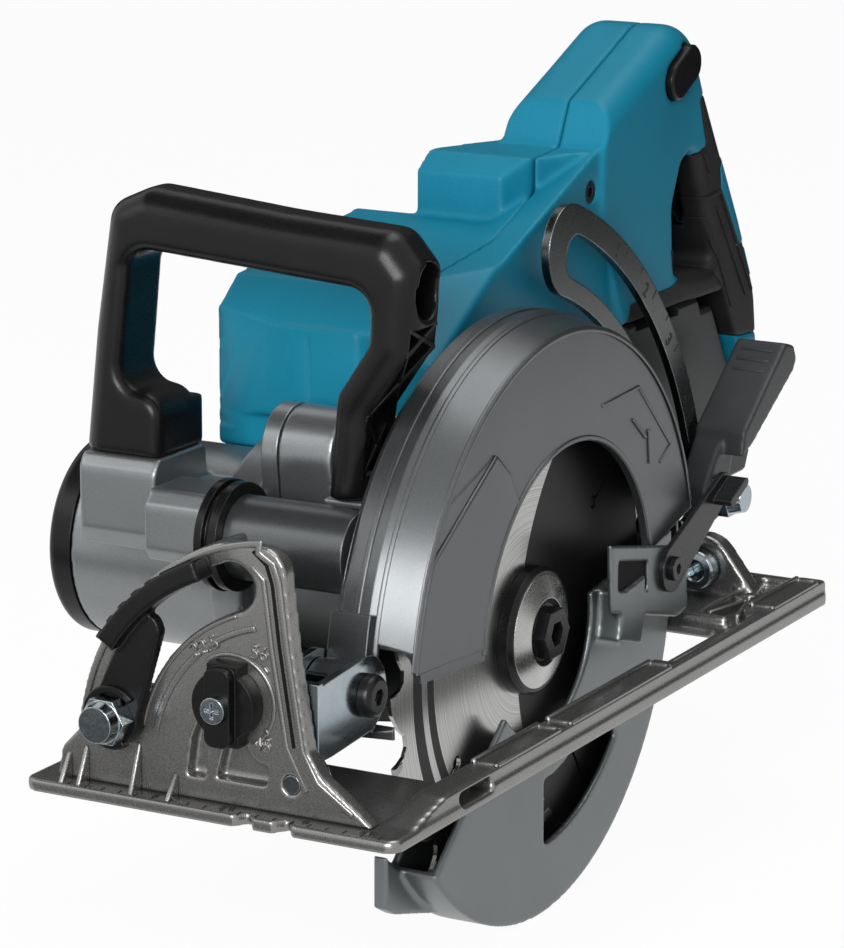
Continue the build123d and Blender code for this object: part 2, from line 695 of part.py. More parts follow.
# Saw blade with gullets, expansion slots and their end holes
body_r = 88.0
with BuildPart() as saw_blade:
    with BuildSketch(at_x(-blade_t / 2)):
        tooth_step = 360 / tooth_count
        outline = []
        for i in range(tooth_count):
            for share, radius in (
                (0.00, blade_r), (0.05, blade_r - 6.5), (0.16, body_r - 2), (0.32, body_r - 2),
                (0.48, body_r + 1.5), (0.76, blade_r - 1.2),
            ):
                outline.append(polar(radius, -(i + share) * tooth_step, arbor))
        face_of(outline)
        disc(arbor, blade_bore_r, Mode.SUBTRACT)
        for i in range(4):
            angle = 90 * i + 34
            spoke = polar(74, angle, arbor)
            with Locations(Location((spoke[0], spoke[1]), angle)):
                Rectangle(28, 1.2, mode=Mode.SUBTRACT)
            disc(polar(60, angle, arbor), 2.4, Mode.SUBTRACT)
    extrude(amount=blade_t)
finish(saw_blade.part, "saw_blade")

# Flanges, spindle, arbor bolt and spindle gear
flange_r = 22.0
with BuildPart() as inner_flange:
    with BuildSketch(at_x(-7.1)):
        disc(arbor, flange_r)
        disc(arbor, spindle_r + 0.02, Mode.SUBTRACT)
    extrude(amount=7.1 - blade_t / 2 - 0.02)
    with BuildSketch(at_x(-1)):
        disc(arbor, blade_bore_r - 0.05)
        disc(arbor, spindle_r + 0.02, Mode.SUBTRACT)
    extrude(amount=1 + blade_t / 2)
finish(inner_flange.part, "inner_flange")

with BuildPart() as outer_flange:
    with BuildSketch(at_x(blade_t / 2 + 0.02)):
        disc(arbor, flange_r)
        disc(arbor, spindle_r + 0.02, Mode.SUBTRACT)
    extrude(amount=5.2)
    chamfer(outer_flange.faces().sort_by(Axis.X)[-1].outer_wire().edges(), 1.4)
finish(outer_flange.part, "outer_flange")

with BuildPart() as spindle:
    with BuildSketch(at_x(-46.0)):
        disc(arbor, spindle_r)
    extrude(amount=51.0)
    with BuildSketch(at_x(-20)):
        disc(arbor, 4.0)
    extrude(amount=26, mode=Mode.SUBTRACT)
finish(spindle.part, "spindle")

with BuildPart() as arbor_bolt:
    with BuildSketch(at_x(-18)):
        disc(arbor, 3.95)
    extrude(amount=24.0)
    with BuildSketch(at_x(5.95)):
        disc(arbor, 10.0)
    extrude(amount=1.4)
    with BuildSketch(at_x(7.3)):
        with Locations(arbor):
            RegularPolygon(9.2, 6)
    extrude(amount=5.0)
    with BuildSketch(at_x(8.3)):
        with Locations(arbor):
            RegularPolygon(4.6, 6)
    extrude(amount=5, mode=Mode.SUBTRACT)
finish(arbor_bolt.part, "arbor_bolt")

to_idler = degrees(atan2(idler_z - arbor_z, idler_y))
to_motor = degrees(atan2(motor_z - idler_z, motor_y - idler_y))
with BuildPart() as spindle_gear:
    with BuildSketch(at_x(-34)):
        gear_face(spindle_teeth, arbor, to_idler)
        disc(arbor, spindle_r + 0.02, Mode.SUBTRACT)
    extrude(amount=9)
finish(spindle_gear.part, "spindle_gear")

# Idler: shaft, small pinion and large wheel
with BuildPart() as idler_shaft:
    with BuildSketch(at_x(-66.4)):
        disc(idler, idler_shaft_r)
    extrude(amount=49)
    with BuildSketch(at_x(-35)):
        gear_face(idler_pinion_teeth, idler, to_idler + 180 + 180 / idler_pinion_teeth)
    extrude(amount=10.4)
finish(idler_shaft.part, "idler_shaft")

with BuildPart() as idler_wheel:
    with BuildSketch(at_x(-58)):
        gear_face(idler_wheel_teeth, idler, to_motor)
        disc(idler, idler_shaft_r + 0.02, Mode.SUBTRACT)
    extrude(amount=9)
finish(idler_wheel.part, "idler_wheel")

# Rotor: shaft with its cut pinion, core and fan
with BuildPart() as rotor_shaft:
    with BuildSketch(at_x(-148.8)):
        disc(motor, motor_shaft_r)
    extrude(amount=101)
    with BuildSketch(at_x(-58.4)):
        gear_face(rotor_teeth, motor, to_motor + 180 + 180 / rotor_teeth)
    extrude(amount=9.8)
finish(rotor_shaft.part, "rotor_shaft")

with BuildPart() as rotor_core:
    with BuildSketch(at_x(-126)):
        disc(motor, 20.0)
        disc(motor, motor_shaft_r + 0.02, Mode.SUBTRACT)
    extrude(amount=40)
finish(rotor_core.part, "rotor_core")

with BuildPart() as cooling_fan:
    with BuildSketch(at_x(-80)):
        disc(motor, 30.0)
        disc(motor, motor_shaft_r + 0.02, Mode.SUBTRACT)
    extrude(amount=1.6)
    with BuildSketch(at_x(-78.4)):
        disc(motor, 9.0)
        for i in range(11):
            sector(motor, 8, 29.5, i * 360 / 11 - 2.2, i * 360 / 11 + 2.2)
        disc(motor, motor_shaft_r + 0.02, Mode.SUBTRACT)
    extrude(amount=6)
finish(cooling_fan.part, "cooling_fan")

# Lower guard: a sprung U-section sector that turns on the snout
lower_a = radians(lower_start)
lower_plane = Plane(origin=(0, 0, arbor_z), x_dir=(1, 0, 0), z_dir=(0, -sin(lower_a), cos(lower_a)))
shelf_x0, shelf_x1 = 14.6, 17.0
lever_screw_at = (77.0, 32.2)
lower_inside = lower_r - 2.6
with BuildPart() as lower_guard:
    with BuildSketch(lower_plane):
        face_of([
            (-10.6, 27), (-10.6, lower_r), (lower_half, lower_r), (lower_half, 36),
            (lower_half - 2.4, 36), (lower_half - 2.4, lower_inside), (-8.2, lower_inside), (-8.2, 27),
        ])
    revolve(axis=head_axis, revolution_arc=lower_end - lower_start)
    with BuildSketch(at_x(-10.6)):
        face_of([(-86, -30), (-86, -48), (-79, -52), (-52, -59.8), (-60, -50)])
        disc(arbor, lower_inside, Mode.SUBTRACT)
    extrude(amount=5.0)
    with BuildSketch(at_x(-10.6)):
        disc(arbor, 29.0)
        disc(arbor, hub_r + 0.07, Mode.SUBTRACT)
    extrude(amount=2.4)
    with BuildSketch(at_x(lower_half - 1)):
        sector(arbor, 40, 59, -17, 7)
    extrude(amount=shelf_x1 - lower_half + 1)
    with BuildSketch(at_x(shelf_x0)):
        face_of([(31, 50.5), (92, 37), (94, 14), (86, 12), (33, 26)])
        face_of([(37.5, 43.5), (61, 38.3), (61, 27.6), (37.5, 33)], Mode.SUBTRACT)
        disc(lever_screw_at, 2.1, Mode.SUBTRACT)
    extrude(amount=shelf_x1 - shelf_x0)
    with BuildSketch(at_x(lower_half - 3)):
        sector(arbor, 53, 76, -89, -42)
    extrude(amount=4, mode=Mode.SUBTRACT)
finish(lower_guard.part, "lower_guard")

# Return spring and retaining ring of the lower guard
with BuildPart() as guard_return_spring:
    with BuildSketch(at_x(-14.6)):
        disc(arbor, 27.5)
        disc(arbor, 21.5, Mode.SUBTRACT)
        sector(arbor, 21, 28.5, -60, -48, Mode.SUBTRACT)
    extrude(amount=3.2)
finish(guard_return_spring.part, "guard_return_spring")

with BuildPart() as guard_retaining_ring:
    with BuildSketch(at_x(-8.05)):
        disc(arbor, 23.0)
        disc(arbor, hub_r + 0.01, Mode.SUBTRACT)
        sector(arbor, 18, 24, -96, -84, Mode.SUBTRACT)
    extrude(amount=0.45)
finish(guard_retaining_ring.part, "guard_retaining_ring")

# Thumb lever of the lower guard and its screw
lever_x0, lever_x1 = 17.1, 19.1
thumb = (119.0, 53.0)
with BuildPart() as guard_lever:
    with BuildSketch(at_x(lever_x0)):
        hull_of((lever_screw_at, 8.5), ((94, 41), 6.5))
        hull_of(((94, 41), 6.5), (thumb, 5.0))
        disc(lever_screw_at, 2.1, Mode.SUBTRACT)
    extrude(amount=lever_x1 - lever_x0)
    with BuildSketch(at_x(lever_x0)):
        hull_of(((111, 49.6), 1.6), ((122.4, 54.6), 1.6))
    extrude(amount=9)
finish(guard_lever.part, "guard_lever")

with BuildPart() as guard_lever_screw:
    with BuildSketch(at_x(shelf_x0)):
        disc(lever_screw_at, 2.0)
    extrude(amount=lever_x1 - shelf_x0)
    with BuildSketch(at_x(lever_x1)):
        disc(lever_screw_at, 4.3)
    extrude(amount=1.9)
    with BuildSketch(at_x(lever_x1 + 1)):
        with Locations(lever_screw_at):
            RegularPolygon(2.0, 6)
    extrude(amount=2, mode=Mode.SUBTRACT)
finish(guard_lever_screw.part, "guard_lever_screw")

# Shaft lock: a push button whose pin points at the spindle gear
with BuildPart() as shaft_lock_button:
    with BuildSketch(at_y(-17.2)):
        disc((lock_x, lock_z), 3.0)
    extrude(amount=40)
    with BuildSketch(at_y(-53.2)):
        disc((lock_x, lock_z), 6.0)
    extrude(amount=8)
    fillet(shaft_lock_button.faces().sort_by(Axis.Y)[0].edges(), 1.2)
finish(shaft_lock_button.part, "shaft_lock_button")

# Depth lever, its clamp bolt and its domed nut
hub_x0, hub_x1 = -16.6, -5.0
pad_x0, pad_x1 = -16.6, 4.0
with BuildPart() as depth_clamp_bolt:
    with BuildSketch(at_x(arm_x0)):
        disc(clamp, clamp_r)
    extrude(amount=31.0)
finish(depth_clamp_bolt.part, "depth_clamp_bolt")

with BuildPart() as depth_lever:
    with BuildSketch(at_x(hub_x0)):
        hull_of((clamp, 10.0), ((176, 56), 6.0))
    extrude(amount=hub_x1 - hub_x0)
    with BuildSketch(at_x(pad_x0)):
        face_of([(168, 52), (177, 55), (213, 76), (216, 80), (213, 86), (206, 88), (170, 61)])
    extrude(amount=pad_x1 - pad_x0)
    fillet(depth_lever.edges().filter_by(Axis.X).group_by(Axis.Y)[-1], 2.0)
    with BuildSketch(at_x(-30)):
        disc(clamp, clamp_r + 0.06)
    extrude(amount=40, mode=Mode.SUBTRACT)
finish(depth_lever.part, "depth_lever")

with BuildPart() as depth_lever_nut:
    with BuildSketch(at_x(hub_x1 + 0.1)):
        with Locations(clamp):
            RegularPolygon(8.0, 6)
    extrude(amount=7.0)
    with BuildSketch(at_x(hub_x1 + 7.1)):
        disc(clamp, 6.6)
    extrude(amount=5.0, taper=16)
    with BuildSketch(at_x(hub_x1)):
        disc(clamp, clamp_r + 0.06)
    extrude(amount=9.6, mode=Mode.SUBTRACT)
finish(depth_lever_nut.part, "depth_lever_nut")

# Body outlines, as (y, z)
block_outline = [(-14, 88), (-16, 128), (-2, 139), (82, 149), (82, 88)]
block_cavity = [(-11, 92), (-12, 126), (0, 135.5), (78, 144.5), (78, 92)]
column_outline = [(80, 90), (80, 150), (130, 150), (130, 107), (114, 90)]
column_cavity = [(77, 94), (77, 146), (122, 146), (122, 110), (111, 94)]
deck_outline = [(80, 146), (80, 165), (89, 171), (130, 173), (130, 146)]
deck_cavity = [(88, 145), (88, 155), (96, 160), (112, 164), (112, 145)]
roof_outline = [(126, 106), (126, 150), (158, 150), (163, 143), (166.5, 123), (177, 111.5), (177, 106)]
handle_outline = [
    (110, 150), (110, 172), (118, 188), (146, 199.5), (183, 215), (200, 183), (232, 131.5), (249, 101), (255, 62),
    (246, 57), (241.5, 58.5), (217, 99.5), (214, 104.5), (176, 106), (126, 106),
]
handle_rounds = {(146, 199.5): 40, (183, 215): 20, (200, 183): 40, (232, 131.5): 60, (249, 101): 40}
finger_gap = [(186, 162), (176, 158), (169, 143), (171, 117), (208.5, 113), (198, 134)]
core_outline = [
    (188, 185), (194.4, 182), (210.4, 155.2), (226.8, 132.4), (239, 110.4), (247.6, 85), (248.5, 76), (236, 76),
    (221.5, 100.5), (212, 115), (202, 135.5), (190, 160),
]
grip_zone = [(190, 181), (320, 181), (320, 76), (226, 84), (213, 106), (200, 116), (184, 140), (182, 158), (197, 162)]
trigger_bay = [(178, 171), (178, 155), (184, 155), (196, 128.5), (212, 133), (203, 160), (198, 171)]
trigger_pivot = (190.0, 166.0)
switch_box = Location((213.0, 141.5), -57)
lock_at = Location((173.0, 192.6), 26)


def handle_back(part):
    """Edges along the top and the back of both handle sides, where the hand lies."""
    sides = part.faces().filter_by(Axis.X).sort_by(Axis.X)
    edges = [e for face in (sides[0], sides[-1]) for e in face.outer_wire().edges()]
    return [e for e in edges if e.center().Z > 185 or e.center().Y + 0.6 * e.center().Z > 284]


# Handle with its full outside, from which the shells and the rubber grip are cut
with BuildPart() as handle_blank:
    with BuildSketch(at_x(handle_left)) as handle_loop:
        face_of(handle_outline)
        for corner, radius in handle_rounds.items():
            fillet(handle_loop.vertices().sort_by_distance(corner)[:1], radius)
        with BuildSketch(mode=Mode.PRIVATE) as gap_loop:
            face_of(finger_gap)
            fillet(gap_loop.vertices(), 5)
        add(gap_loop.sketch, mode=Mode.SUBTRACT)
    extrude(amount=handle_right - handle_left)
    fillet(handle_back(handle_blank.part), 10.0)
    sides = handle_blank.faces().filter_by(Axis.X).sort_by(Axis.X)
    fillet([e for face in (sides[0], sides[-1]) for w in face.inner_wires() for e in w.edges()], 4.0)

with BuildPart() as grip_core:
    with BuildSketch(at_x(handle_left + skin)):
        face_of(core_outline)
    extrude(amount=handle_right - handle_left - 2 * skin)

with BuildPart() as grip_cutter:
    with BuildSketch(at_x(handle_left - 10)):
        face_of(grip_zone)
    extrude(amount=handle_right - handle_left + 20)

with BuildPart() as trigger_cutter:
    with BuildSketch(at_x(-53.2)):
        face_of(trigger_bay)
    extrude(amount=16.4)

# Rubber grip: a skin round the core of the rear handle
with BuildPart() as rear_grip:
    add(handle_blank.part)
    add(grip_cutter.part, mode=Mode.INTERSECT)
    add(grip_core.part, mode=Mode.SUBTRACT)
    add(trigger_cutter.part, mode=Mode.SUBTRACT)
finish(rear_grip.part, "rear_grip")

shell_screw_spots = ((20.0, 104.0, shell_right), (95.0, 104.0, shell_right), (104.0, 158.0, shell_right),
                     (244.0, 69.0, handle_right))
column_left = -86.0

# Slanting faces of the body: a corner facet at the front right, and a ramp that climbs behind it to the handle
facet_plane = Plane((shell_right, -16, 115), x_dir=(0, 62.6, 36), z_dir=(0.456, -0.444, 0.772))
facet_inside = facet_plane.offset(-wall)
ramp_plane = Plane((shell_right, 80, 161.7), x_dir=(0, 1, 0.394), z_dir=(-0.434, -0.394, 1))
ramp_left = -60.0
with BuildPart() as ramp:
    with BuildSketch(at_x(ramp_left)):
        face_of([(26, 138), (26, 176), (116, 176), (116, 138)])
    extrude(amount=shell_right - ramp_left)
    split(bisect_by=ramp_plane, keep=Keep.BOTTOM)

with BuildPart() as block_space:
    with BuildSketch(at_x(shell_left + wall)):
        face_of(block_cavity)
        disc(shell_screw_spots[0][:2], 5.0, Mode.SUBTRACT)
    extrude(amount=shell_right - shell_left - 2 * wall)
    split(bisect_by=facet_inside, keep=Keep.BOTTOM)

# Both body shells in one piece, before the split
with BuildPart() as body_blank:
    with BuildSketch(at_x(shell_left)):
        face_of(block_outline)
    extrude(amount=shell_right - shell_left)
    split(bisect_by=facet_plane, keep=Keep.BOTTOM)
    for outline in (column_outline, deck_outline, roof_outline):
        with BuildSketch(at_x(column_left)):
            face_of(outline)
        extrude(amount=shell_right - column_left)
    with BuildSketch(Plane.XY.offset(151)):
        face_of([(column_left - 1, 94), (column_left, 94), (handle_left, 120), (handle_left, 131), (column_left - 1, 131)])
        face_of([(-53, 79), (shell_right + 1, 79), (shell_right + 1, 113)])
    extrude(amount=30, mode=Mode.SUBTRACT)
    add(ramp.part)
    with BuildSketch(at_x(shell_left)):
        face_of([(-15, 64), (-15, 92), (14, 92), (14, 64)])
    extrude(amount=-68 - shell_left)
    add(handle_blank.part)
    add(grip_cutter.part, mode=Mode.SUBTRACT)
    with BuildPart(mode=Mode.PRIVATE) as inside_grip:
        add(grip_core.part)
        add(grip_cutter.part, mode=Mode.INTERSECT)
    add(inside_grip.part)
    with BuildSketch(at_x(shell_left - 1)):
        disc(motor, motor_r + 0.3)
    extrude(amount=shell_right - shell_left + 2, mode=Mode.SUBTRACT)
    add(block_space.part, mode=Mode.SUBTRACT)
    for cavity, left in ((column_cavity, column_left + wall), (deck_cavity, handle_left + wall)):
        with BuildSketch(at_x(left)):
            face_of(cavity)
            for y, z, x in shell_screw_spots[1:3]:
                disc((y, z), 5.0, Mode.SUBTRACT)
        extrude(amount=shell_right - wall - left, mode=Mode.SUBTRACT)
    add(trigger_cutter.part, mode=Mode.SUBTRACT)
    with BuildSketch(at_x(-56)):
        with Locations(switch_box):
            Rectangle(25.2, 9.2)
    extrude(amount=22, mode=Mode.SUBTRACT)
    with BuildSketch(at_x(handle_left - 1)):
        with Locations(lock_at):
            SlotOverall(26.6, 14.6)
    extrude(amount=handle_right - handle_left + 2, mode=Mode.SUBTRACT)
    for y, z, x in shell_screw_spots:
        with BuildSketch(at_x(x - 32)):
            disc((y, z), 2.05)
        extrude(amount=33, mode=Mode.SUBTRACT)
        with BuildSketch(at_x(x - 3.6)):
            disc((y, z), 4.1)
        extrude(amount=4, mode=Mode.SUBTRACT)
    with BuildSketch(at_x(-53)):
        face_of([(146, 105), (146, 112), (184, 112), (184, 105)])
    extrude(amount=16, mode=Mode.SUBTRACT)

with BuildPart() as shell_left_half:
    add(body_blank.part)
    split(bisect_by=at_x(split_x), keep=Keep.BOTTOM)
finish(shell_left_half.part, "shell_left")

with BuildPart() as shell_right_half:
    add(body_blank.part)
    split(bisect_by=at_x(split_x), keep=Keep.TOP)
finish(shell_right_half.part, "shell_right")

with BuildPart() as shell_screws:
    for y, z, x in shell_screw_spots:
        with BuildSketch(at_x(x - 30)):
            disc((y, z), 2.0)
        extrude(amount=26.4)
        with BuildSketch(at_x(x - 3.6)):
            disc((y, z), 3.9)
        extrude(amount=2.8)
        with BuildSketch(at_x(x - 2.4)):
            with Locations((y, z)):
                RegularPolygon(2.0, 6)
        extrude(amount=3, mode=Mode.SUBTRACT)
finish(shell_screws.part, "shell_screws")

# Trigger, switch, lock-off button, controller and battery terminal
with BuildPart() as trigger:
    with BuildSketch(at_x(-52.6)):
        face_of([(185, 163), (182, 153), (187, 141), (197, 132), (203, 136), (200, 147), (195, 160), (193, 169), (186, 169)])
        disc(trigger_pivot, 1.56, Mode.SUBTRACT)
    extrude(amount=15.2)
    fillet(trigger.edges().filter_by(Axis.X).group_by(Axis.Y)[0], 2.0)
finish(trigger.part, "trigger")

with BuildPart() as trigger_pin:
    with BuildSketch(at_x(-53.2)):
        disc(trigger_pivot, 1.5)
    extrude(amount=16.4)
finish(trigger_pin.part, "trigger_pin")

with BuildPart() as switch_module:
    with BuildSketch(at_x(-55)):
        with Locations(switch_box):
            RectangleRounded(24, 8, 1.5)
    extrude(amount=20)
finish(switch_module.part, "switch_module")

with BuildPart() as lock_off_button:
    with BuildSketch(at_x(handle_left - 2.5)):
        with Locations(lock_at):
            SlotOverall(26, 14)
    extrude(amount=handle_right - handle_left + 5)
    chamfer(lock_off_button.faces().filter_by(Axis.X).edges(), 0.8)
finish(lock_off_button.part, "lock_off_button")

with BuildPart() as controller:
    with BuildSketch(at_x(-100)):
        with Locations((45, 121)):
            RectangleRounded(58, 18, 2)
    extrude(amount=50)
finish(controller.part, "controller")

with BuildPart() as terminal_block:
    with BuildSketch(at_x(-52.8)):
        face_of([(146.2, 100.5), (146.2, 111.8), (181.5, 111.8), (181.5, 100.5)])
    extrude(amount=15.4)
finish(terminal_block.part, "terminal_block")

# Battery pack with its sloped back, and its release button
battery_outline = [
    (130.4, 32), (130.4, 92), (136, 97), (138, 103.2), (200, 103.2), (203, 97.5), (213, 97.5), (251, 34), (247, 26), (136, 26),
]
release_at = (222.0, 56.0)
with BuildPart() as battery_pack:
    with BuildSketch(at_x(battery_left)):
        face_of(battery_outline)
    extrude(amount=battery_right - battery_left)
    chamfer(battery_pack.faces().filter_by(Axis.X).edges(), 1.5)
    with BuildSketch(at_x(-53.6)):
        face_of([(145.4, 99.8), (145.4, 104), (182.3, 104), (182.3, 99.8)])
    extrude(amount=30, mode=Mode.SUBTRACT)
    with BuildSketch(at_x(battery_left - 1)):
        with Locations(release_at):
            RectangleRounded(16, 24, 3)
    extrude(amount=6, mode=Mode.SUBTRACT)
finish(battery_pack.part, "battery_pack")

with BuildPart() as battery_release:
    with BuildSketch(at_x(battery_left - 2)):
        with Locations(release_at):
            RectangleRounded(15.2, 23.2, 2.6)
    extrude(amount=4)
    chamfer(battery_release.faces().sort_by(Axis.X)[0].edges(), 0.8)
finish(battery_release.part, "battery_release")

# Front handle: a closed bail between the motor beam and the gear case, with its foot screws
bail_feet = [(-21, 84), (-34, 84), (-97.5, 90), (-129.5, 90)]
foot_back = -47.0
bail_round = 4.0
bail_outline = [
    (-118.5, 173), (-104, 179.4), (-54, 175), (-11.5, 172.6), (-1.2, 160.5), (-4, 133), (-19, 111), *bail_feet[:2],
    (-31, 118), (-19, 136), (-18.5, 153.4), (-109, 159.6), (-114, 112), (-97.5, 110), *bail_feet[2:], (-125, 131),
]


def bail_edges(low, high):
    """Edges of the front and back faces of the front handle between two heights, feet left out."""
    faces = front_handle.faces().filter_by(Axis.Y).sort_by(Axis.Y)
    edges = [e for face in (faces[0], faces[-1]) for e in face.edges()]
    return [e for e in edges if low < e.center().Z < high and e.bounding_box().size.Z > 0.1]


with BuildPart() as front_handle:
    with BuildSketch(at_y(grip_back_y)) as bail:
        face_of(bail_outline)
        fillet([v for v in bail.vertices() if all(hypot(v.X - x, v.Y - z) > 1 for x, z in bail_feet)], 8)
    extrude(amount=grip_back_y - grip_front_y)
    fillet(bail_edges(160, 200), 10.0)
    fillet(bail_edges(0, 157), bail_round)
    with BuildSketch(Plane.XY.offset(bail_feet[2][1])):
        face_of([(-126.5, foot_back), (-97.5, foot_back), (-97.5, grip_back_y - 6), (-126.5, grip_back_y - 6)])
    extrude(amount=17)
    with BuildSketch(at_x(-14)):
        with Locations((-62.5, 153)):
            SlotOverall(18.5, 15.5, rotation=90)
    extrude(amount=20, mode=Mode.SUBTRACT)
    for x, y in (*foot_screws, (-29.0, -62.0)):
        with BuildSketch(Plane.XY.offset(80)):
            with Locations((x, y)):
                Circle(2.05)
        extrude(amount=26, mode=Mode.SUBTRACT)
finish(front_handle.part, "front_handle")

with BuildPart() as front_handle_screws:
    for x, y, z in (*((x, y, beam_top) for x, y in foot_screws), (-29.0, -62.0, 83.6)):
        with BuildSketch(Plane.XY.offset(z - 9)):
            with Locations((x, y)):
                Circle(2.0)
        extrude(amount=22)
finish(front_handle_screws.part, "front_handle_screws")
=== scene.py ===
"""Looks of a rear-handle cordless circular saw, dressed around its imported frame. Sizes in millimetres."""

import json
import math

import bmesh
import bpy
from mathutils import Matrix, Vector

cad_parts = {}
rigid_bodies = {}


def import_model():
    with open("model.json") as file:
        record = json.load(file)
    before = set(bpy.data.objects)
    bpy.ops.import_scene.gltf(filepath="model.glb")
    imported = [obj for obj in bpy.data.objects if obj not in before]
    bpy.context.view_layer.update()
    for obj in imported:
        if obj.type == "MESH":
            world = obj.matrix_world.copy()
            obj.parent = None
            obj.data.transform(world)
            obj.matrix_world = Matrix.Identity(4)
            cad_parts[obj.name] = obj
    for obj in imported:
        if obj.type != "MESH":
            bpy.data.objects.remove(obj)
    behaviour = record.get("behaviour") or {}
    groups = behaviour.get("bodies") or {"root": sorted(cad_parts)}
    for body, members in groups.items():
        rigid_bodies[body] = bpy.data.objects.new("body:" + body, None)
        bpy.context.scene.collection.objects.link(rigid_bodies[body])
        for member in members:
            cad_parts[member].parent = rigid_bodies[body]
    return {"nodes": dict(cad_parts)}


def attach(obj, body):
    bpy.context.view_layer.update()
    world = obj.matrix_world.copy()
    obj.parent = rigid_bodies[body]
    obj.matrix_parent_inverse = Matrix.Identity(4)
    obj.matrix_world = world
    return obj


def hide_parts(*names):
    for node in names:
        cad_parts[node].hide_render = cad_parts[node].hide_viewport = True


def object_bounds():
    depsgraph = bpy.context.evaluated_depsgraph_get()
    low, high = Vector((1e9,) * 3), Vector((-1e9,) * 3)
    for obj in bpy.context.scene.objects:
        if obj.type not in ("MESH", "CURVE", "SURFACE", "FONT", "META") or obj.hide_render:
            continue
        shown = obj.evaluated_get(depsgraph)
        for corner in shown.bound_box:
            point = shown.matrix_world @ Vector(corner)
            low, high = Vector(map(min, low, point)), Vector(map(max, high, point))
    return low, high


for leftover in list(bpy.data.objects):
    bpy.data.objects.remove(leftover)

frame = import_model()
cad_low, cad_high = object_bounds()
mm = 0.001

# Places shared with the solids: (y, z) of axes along X
arbor = (0.0, 26.5)
guide_centre = (12.0, -6.0)

# Places shared with the solids: (x, z) of axes along Y
bevel_centre = (-2.0, 14.0)
bevel_bolt = (-63.0, 28.5)
stop_knob = (-22.6, 38.0)
lock_button = (-30.0, 36.0)

# Edges that turn by more than this stay sharp
sharp_angle = math.radians(35)

# Foot of the details that stand on the base, a little under its top face
base_foot = 3.6


# Materials

def new_material(name):
    """An empty node material with its Principled shader."""
    material = bpy.data.materials.new(name)
    material.use_nodes = True
    shader = material.node_tree.nodes["Principled BSDF"]
    return material, material.node_tree.nodes, material.node_tree.links, shader


def tint(colour, factor):
    """A colour made lighter or darker, with full alpha."""
    return tuple(min(1.0, channel * factor) for channel in colour) + (1.0,)


def noise_of(nodes, links, coords, size, detail=3.0):
    """A noise whose features are about size millimetres across."""
    noise = nodes.new("ShaderNodeTexNoise")
    noise.inputs["Scale"].default_value = 1.0 / (size * mm)
    noise.inputs["Detail"].default_value = detail
    links.new(coords.outputs["Object"], noise.inputs["Vector"])
    return noise.outputs["Fac"]


def remap(nodes, links, value, low, high, to_low, to_high):
    """A value carried from one range to another, clamped."""
    node = nodes.new("ShaderNodeMapRange")
    node.inputs["From Min"].default_value = low
    node.inputs["From Max"].default_value = high
    node.inputs["To Min"].default_value = to_low
    node.inputs["To Max"].default_value = to_high
    links.new(value, node.inputs["Value"])
    return node.outputs["Result"]


def blend_colours(nodes, links, factor, first, second):
    """Two colours, or a colour socket and a colour, mixed by a factor socket."""
    node = nodes.new("ShaderNodeMix")
    node.data_type = "RGBA"
    links.new(factor, node.inputs["Factor"])
    for socket, colour in ((node.inputs["A"], first), (node.inputs["B"], second)):
        if isinstance(colour, tuple):
            socket.default_value = colour
        else:
            links.new(colour, socket)
    return node.outputs["Result"]


def soft_normal(nodes, links, radius):
    """The surface normal with its edges rounded, and a mask of those edges."""
    bevel = nodes.new("ShaderNodeBevel")
    bevel.samples = 6
    bevel.inputs["Radius"].default_value = radius * mm
    geometry = nodes.new("ShaderNodeNewGeometry")
    dot = nodes.new("ShaderNodeVectorMath")
    dot.operation = "DOT_PRODUCT"
    links.new(bevel.outputs["Normal"], dot.inputs[0])
    links.new(geometry.outputs["Normal"], dot.inputs[1])
    mask = remap(nodes, links, dot.outputs["Value"], 0.99, 0.80, 0.0, 1.0)
    return bevel.outputs["Normal"], mask


def bumped(nodes, links, height, normal, strength, depth):
    """A bump in millimetres of depth on top of a normal."""
    bump = nodes.new("ShaderNodeBump")
    bump.inputs["Strength"].default_value = strength
    bump.inputs["Distance"].default_value = depth * mm
    links.new(height, bump.inputs["Height"])
    links.new(normal, bump.inputs["Normal"])
    return bump.outputs["Normal"]


def multiplied(nodes, links, first, second):
    """The product of two value sockets."""
    node = nodes.new("ShaderNodeMath")
    node.operation = "MULTIPLY"
    links.new(first, node.inputs[0])
    links.new(second, node.inputs[1])
    return node.outputs["Value"]


def surface(name, colour, rough, metal=0.0, vary=0.10, blotch=25.0, grain=0.4, grain_depth=0.03, fleck=0.0,
            edge=None, wear_and_highlight_amount=0.5, soft=0.5, specular=0.5):
    """A moulded, cast or plated surface: blotches, fine grain, soft edges, and edges painted lighter, partly
    as wear and partly as painted highlight.
    """
    material, nodes, links, shader = new_material(name)
    coords = nodes.new("ShaderNodeTexCoord")
    blotches = noise_of(nodes, links, coords, blotch)
    grains = noise_of(nodes, links, coords, grain, 2.0)
    normal, edges = soft_normal(nodes, links, soft)
    spread = remap(nodes, links, blotches, 0.3, 0.7, 0.0, 1.0)
    shade = blend_colours(nodes, links, spread, tint(colour, 1.0 - vary), tint(colour, 1.0 + vary))
    if fleck:
        flecks = remap(nodes, links, grains, 0.45, 0.75, 0.0, fleck)
        shade = blend_colours(nodes, links, flecks, shade, tint(colour, 2.4))
    # Edges painted lighter: partly wear, partly a painted highlight along every edge.
    if edge:
        wear_and_highlight_mask = multiplied(nodes, links, edges, remap(nodes, links, blotches, 0.35, 0.65, 0.0, wear_and_highlight_amount))
        shade = blend_colours(nodes, links, wear_and_highlight_mask, shade, edge + (1.0,))
    links.new(shade, shader.inputs["Base Color"])
    links.new(remap(nodes, links, grains, 0.3, 0.7, rough - 0.05, rough + 0.05), shader.inputs["Roughness"])
    links.new(bumped(nodes, links, grains, normal, 0.6, grain_depth), shader.inputs["Normal"])
    shader.inputs["Metallic"].default_value = metal
    shader.inputs["Specular IOR Level"].default_value = specular
    return material


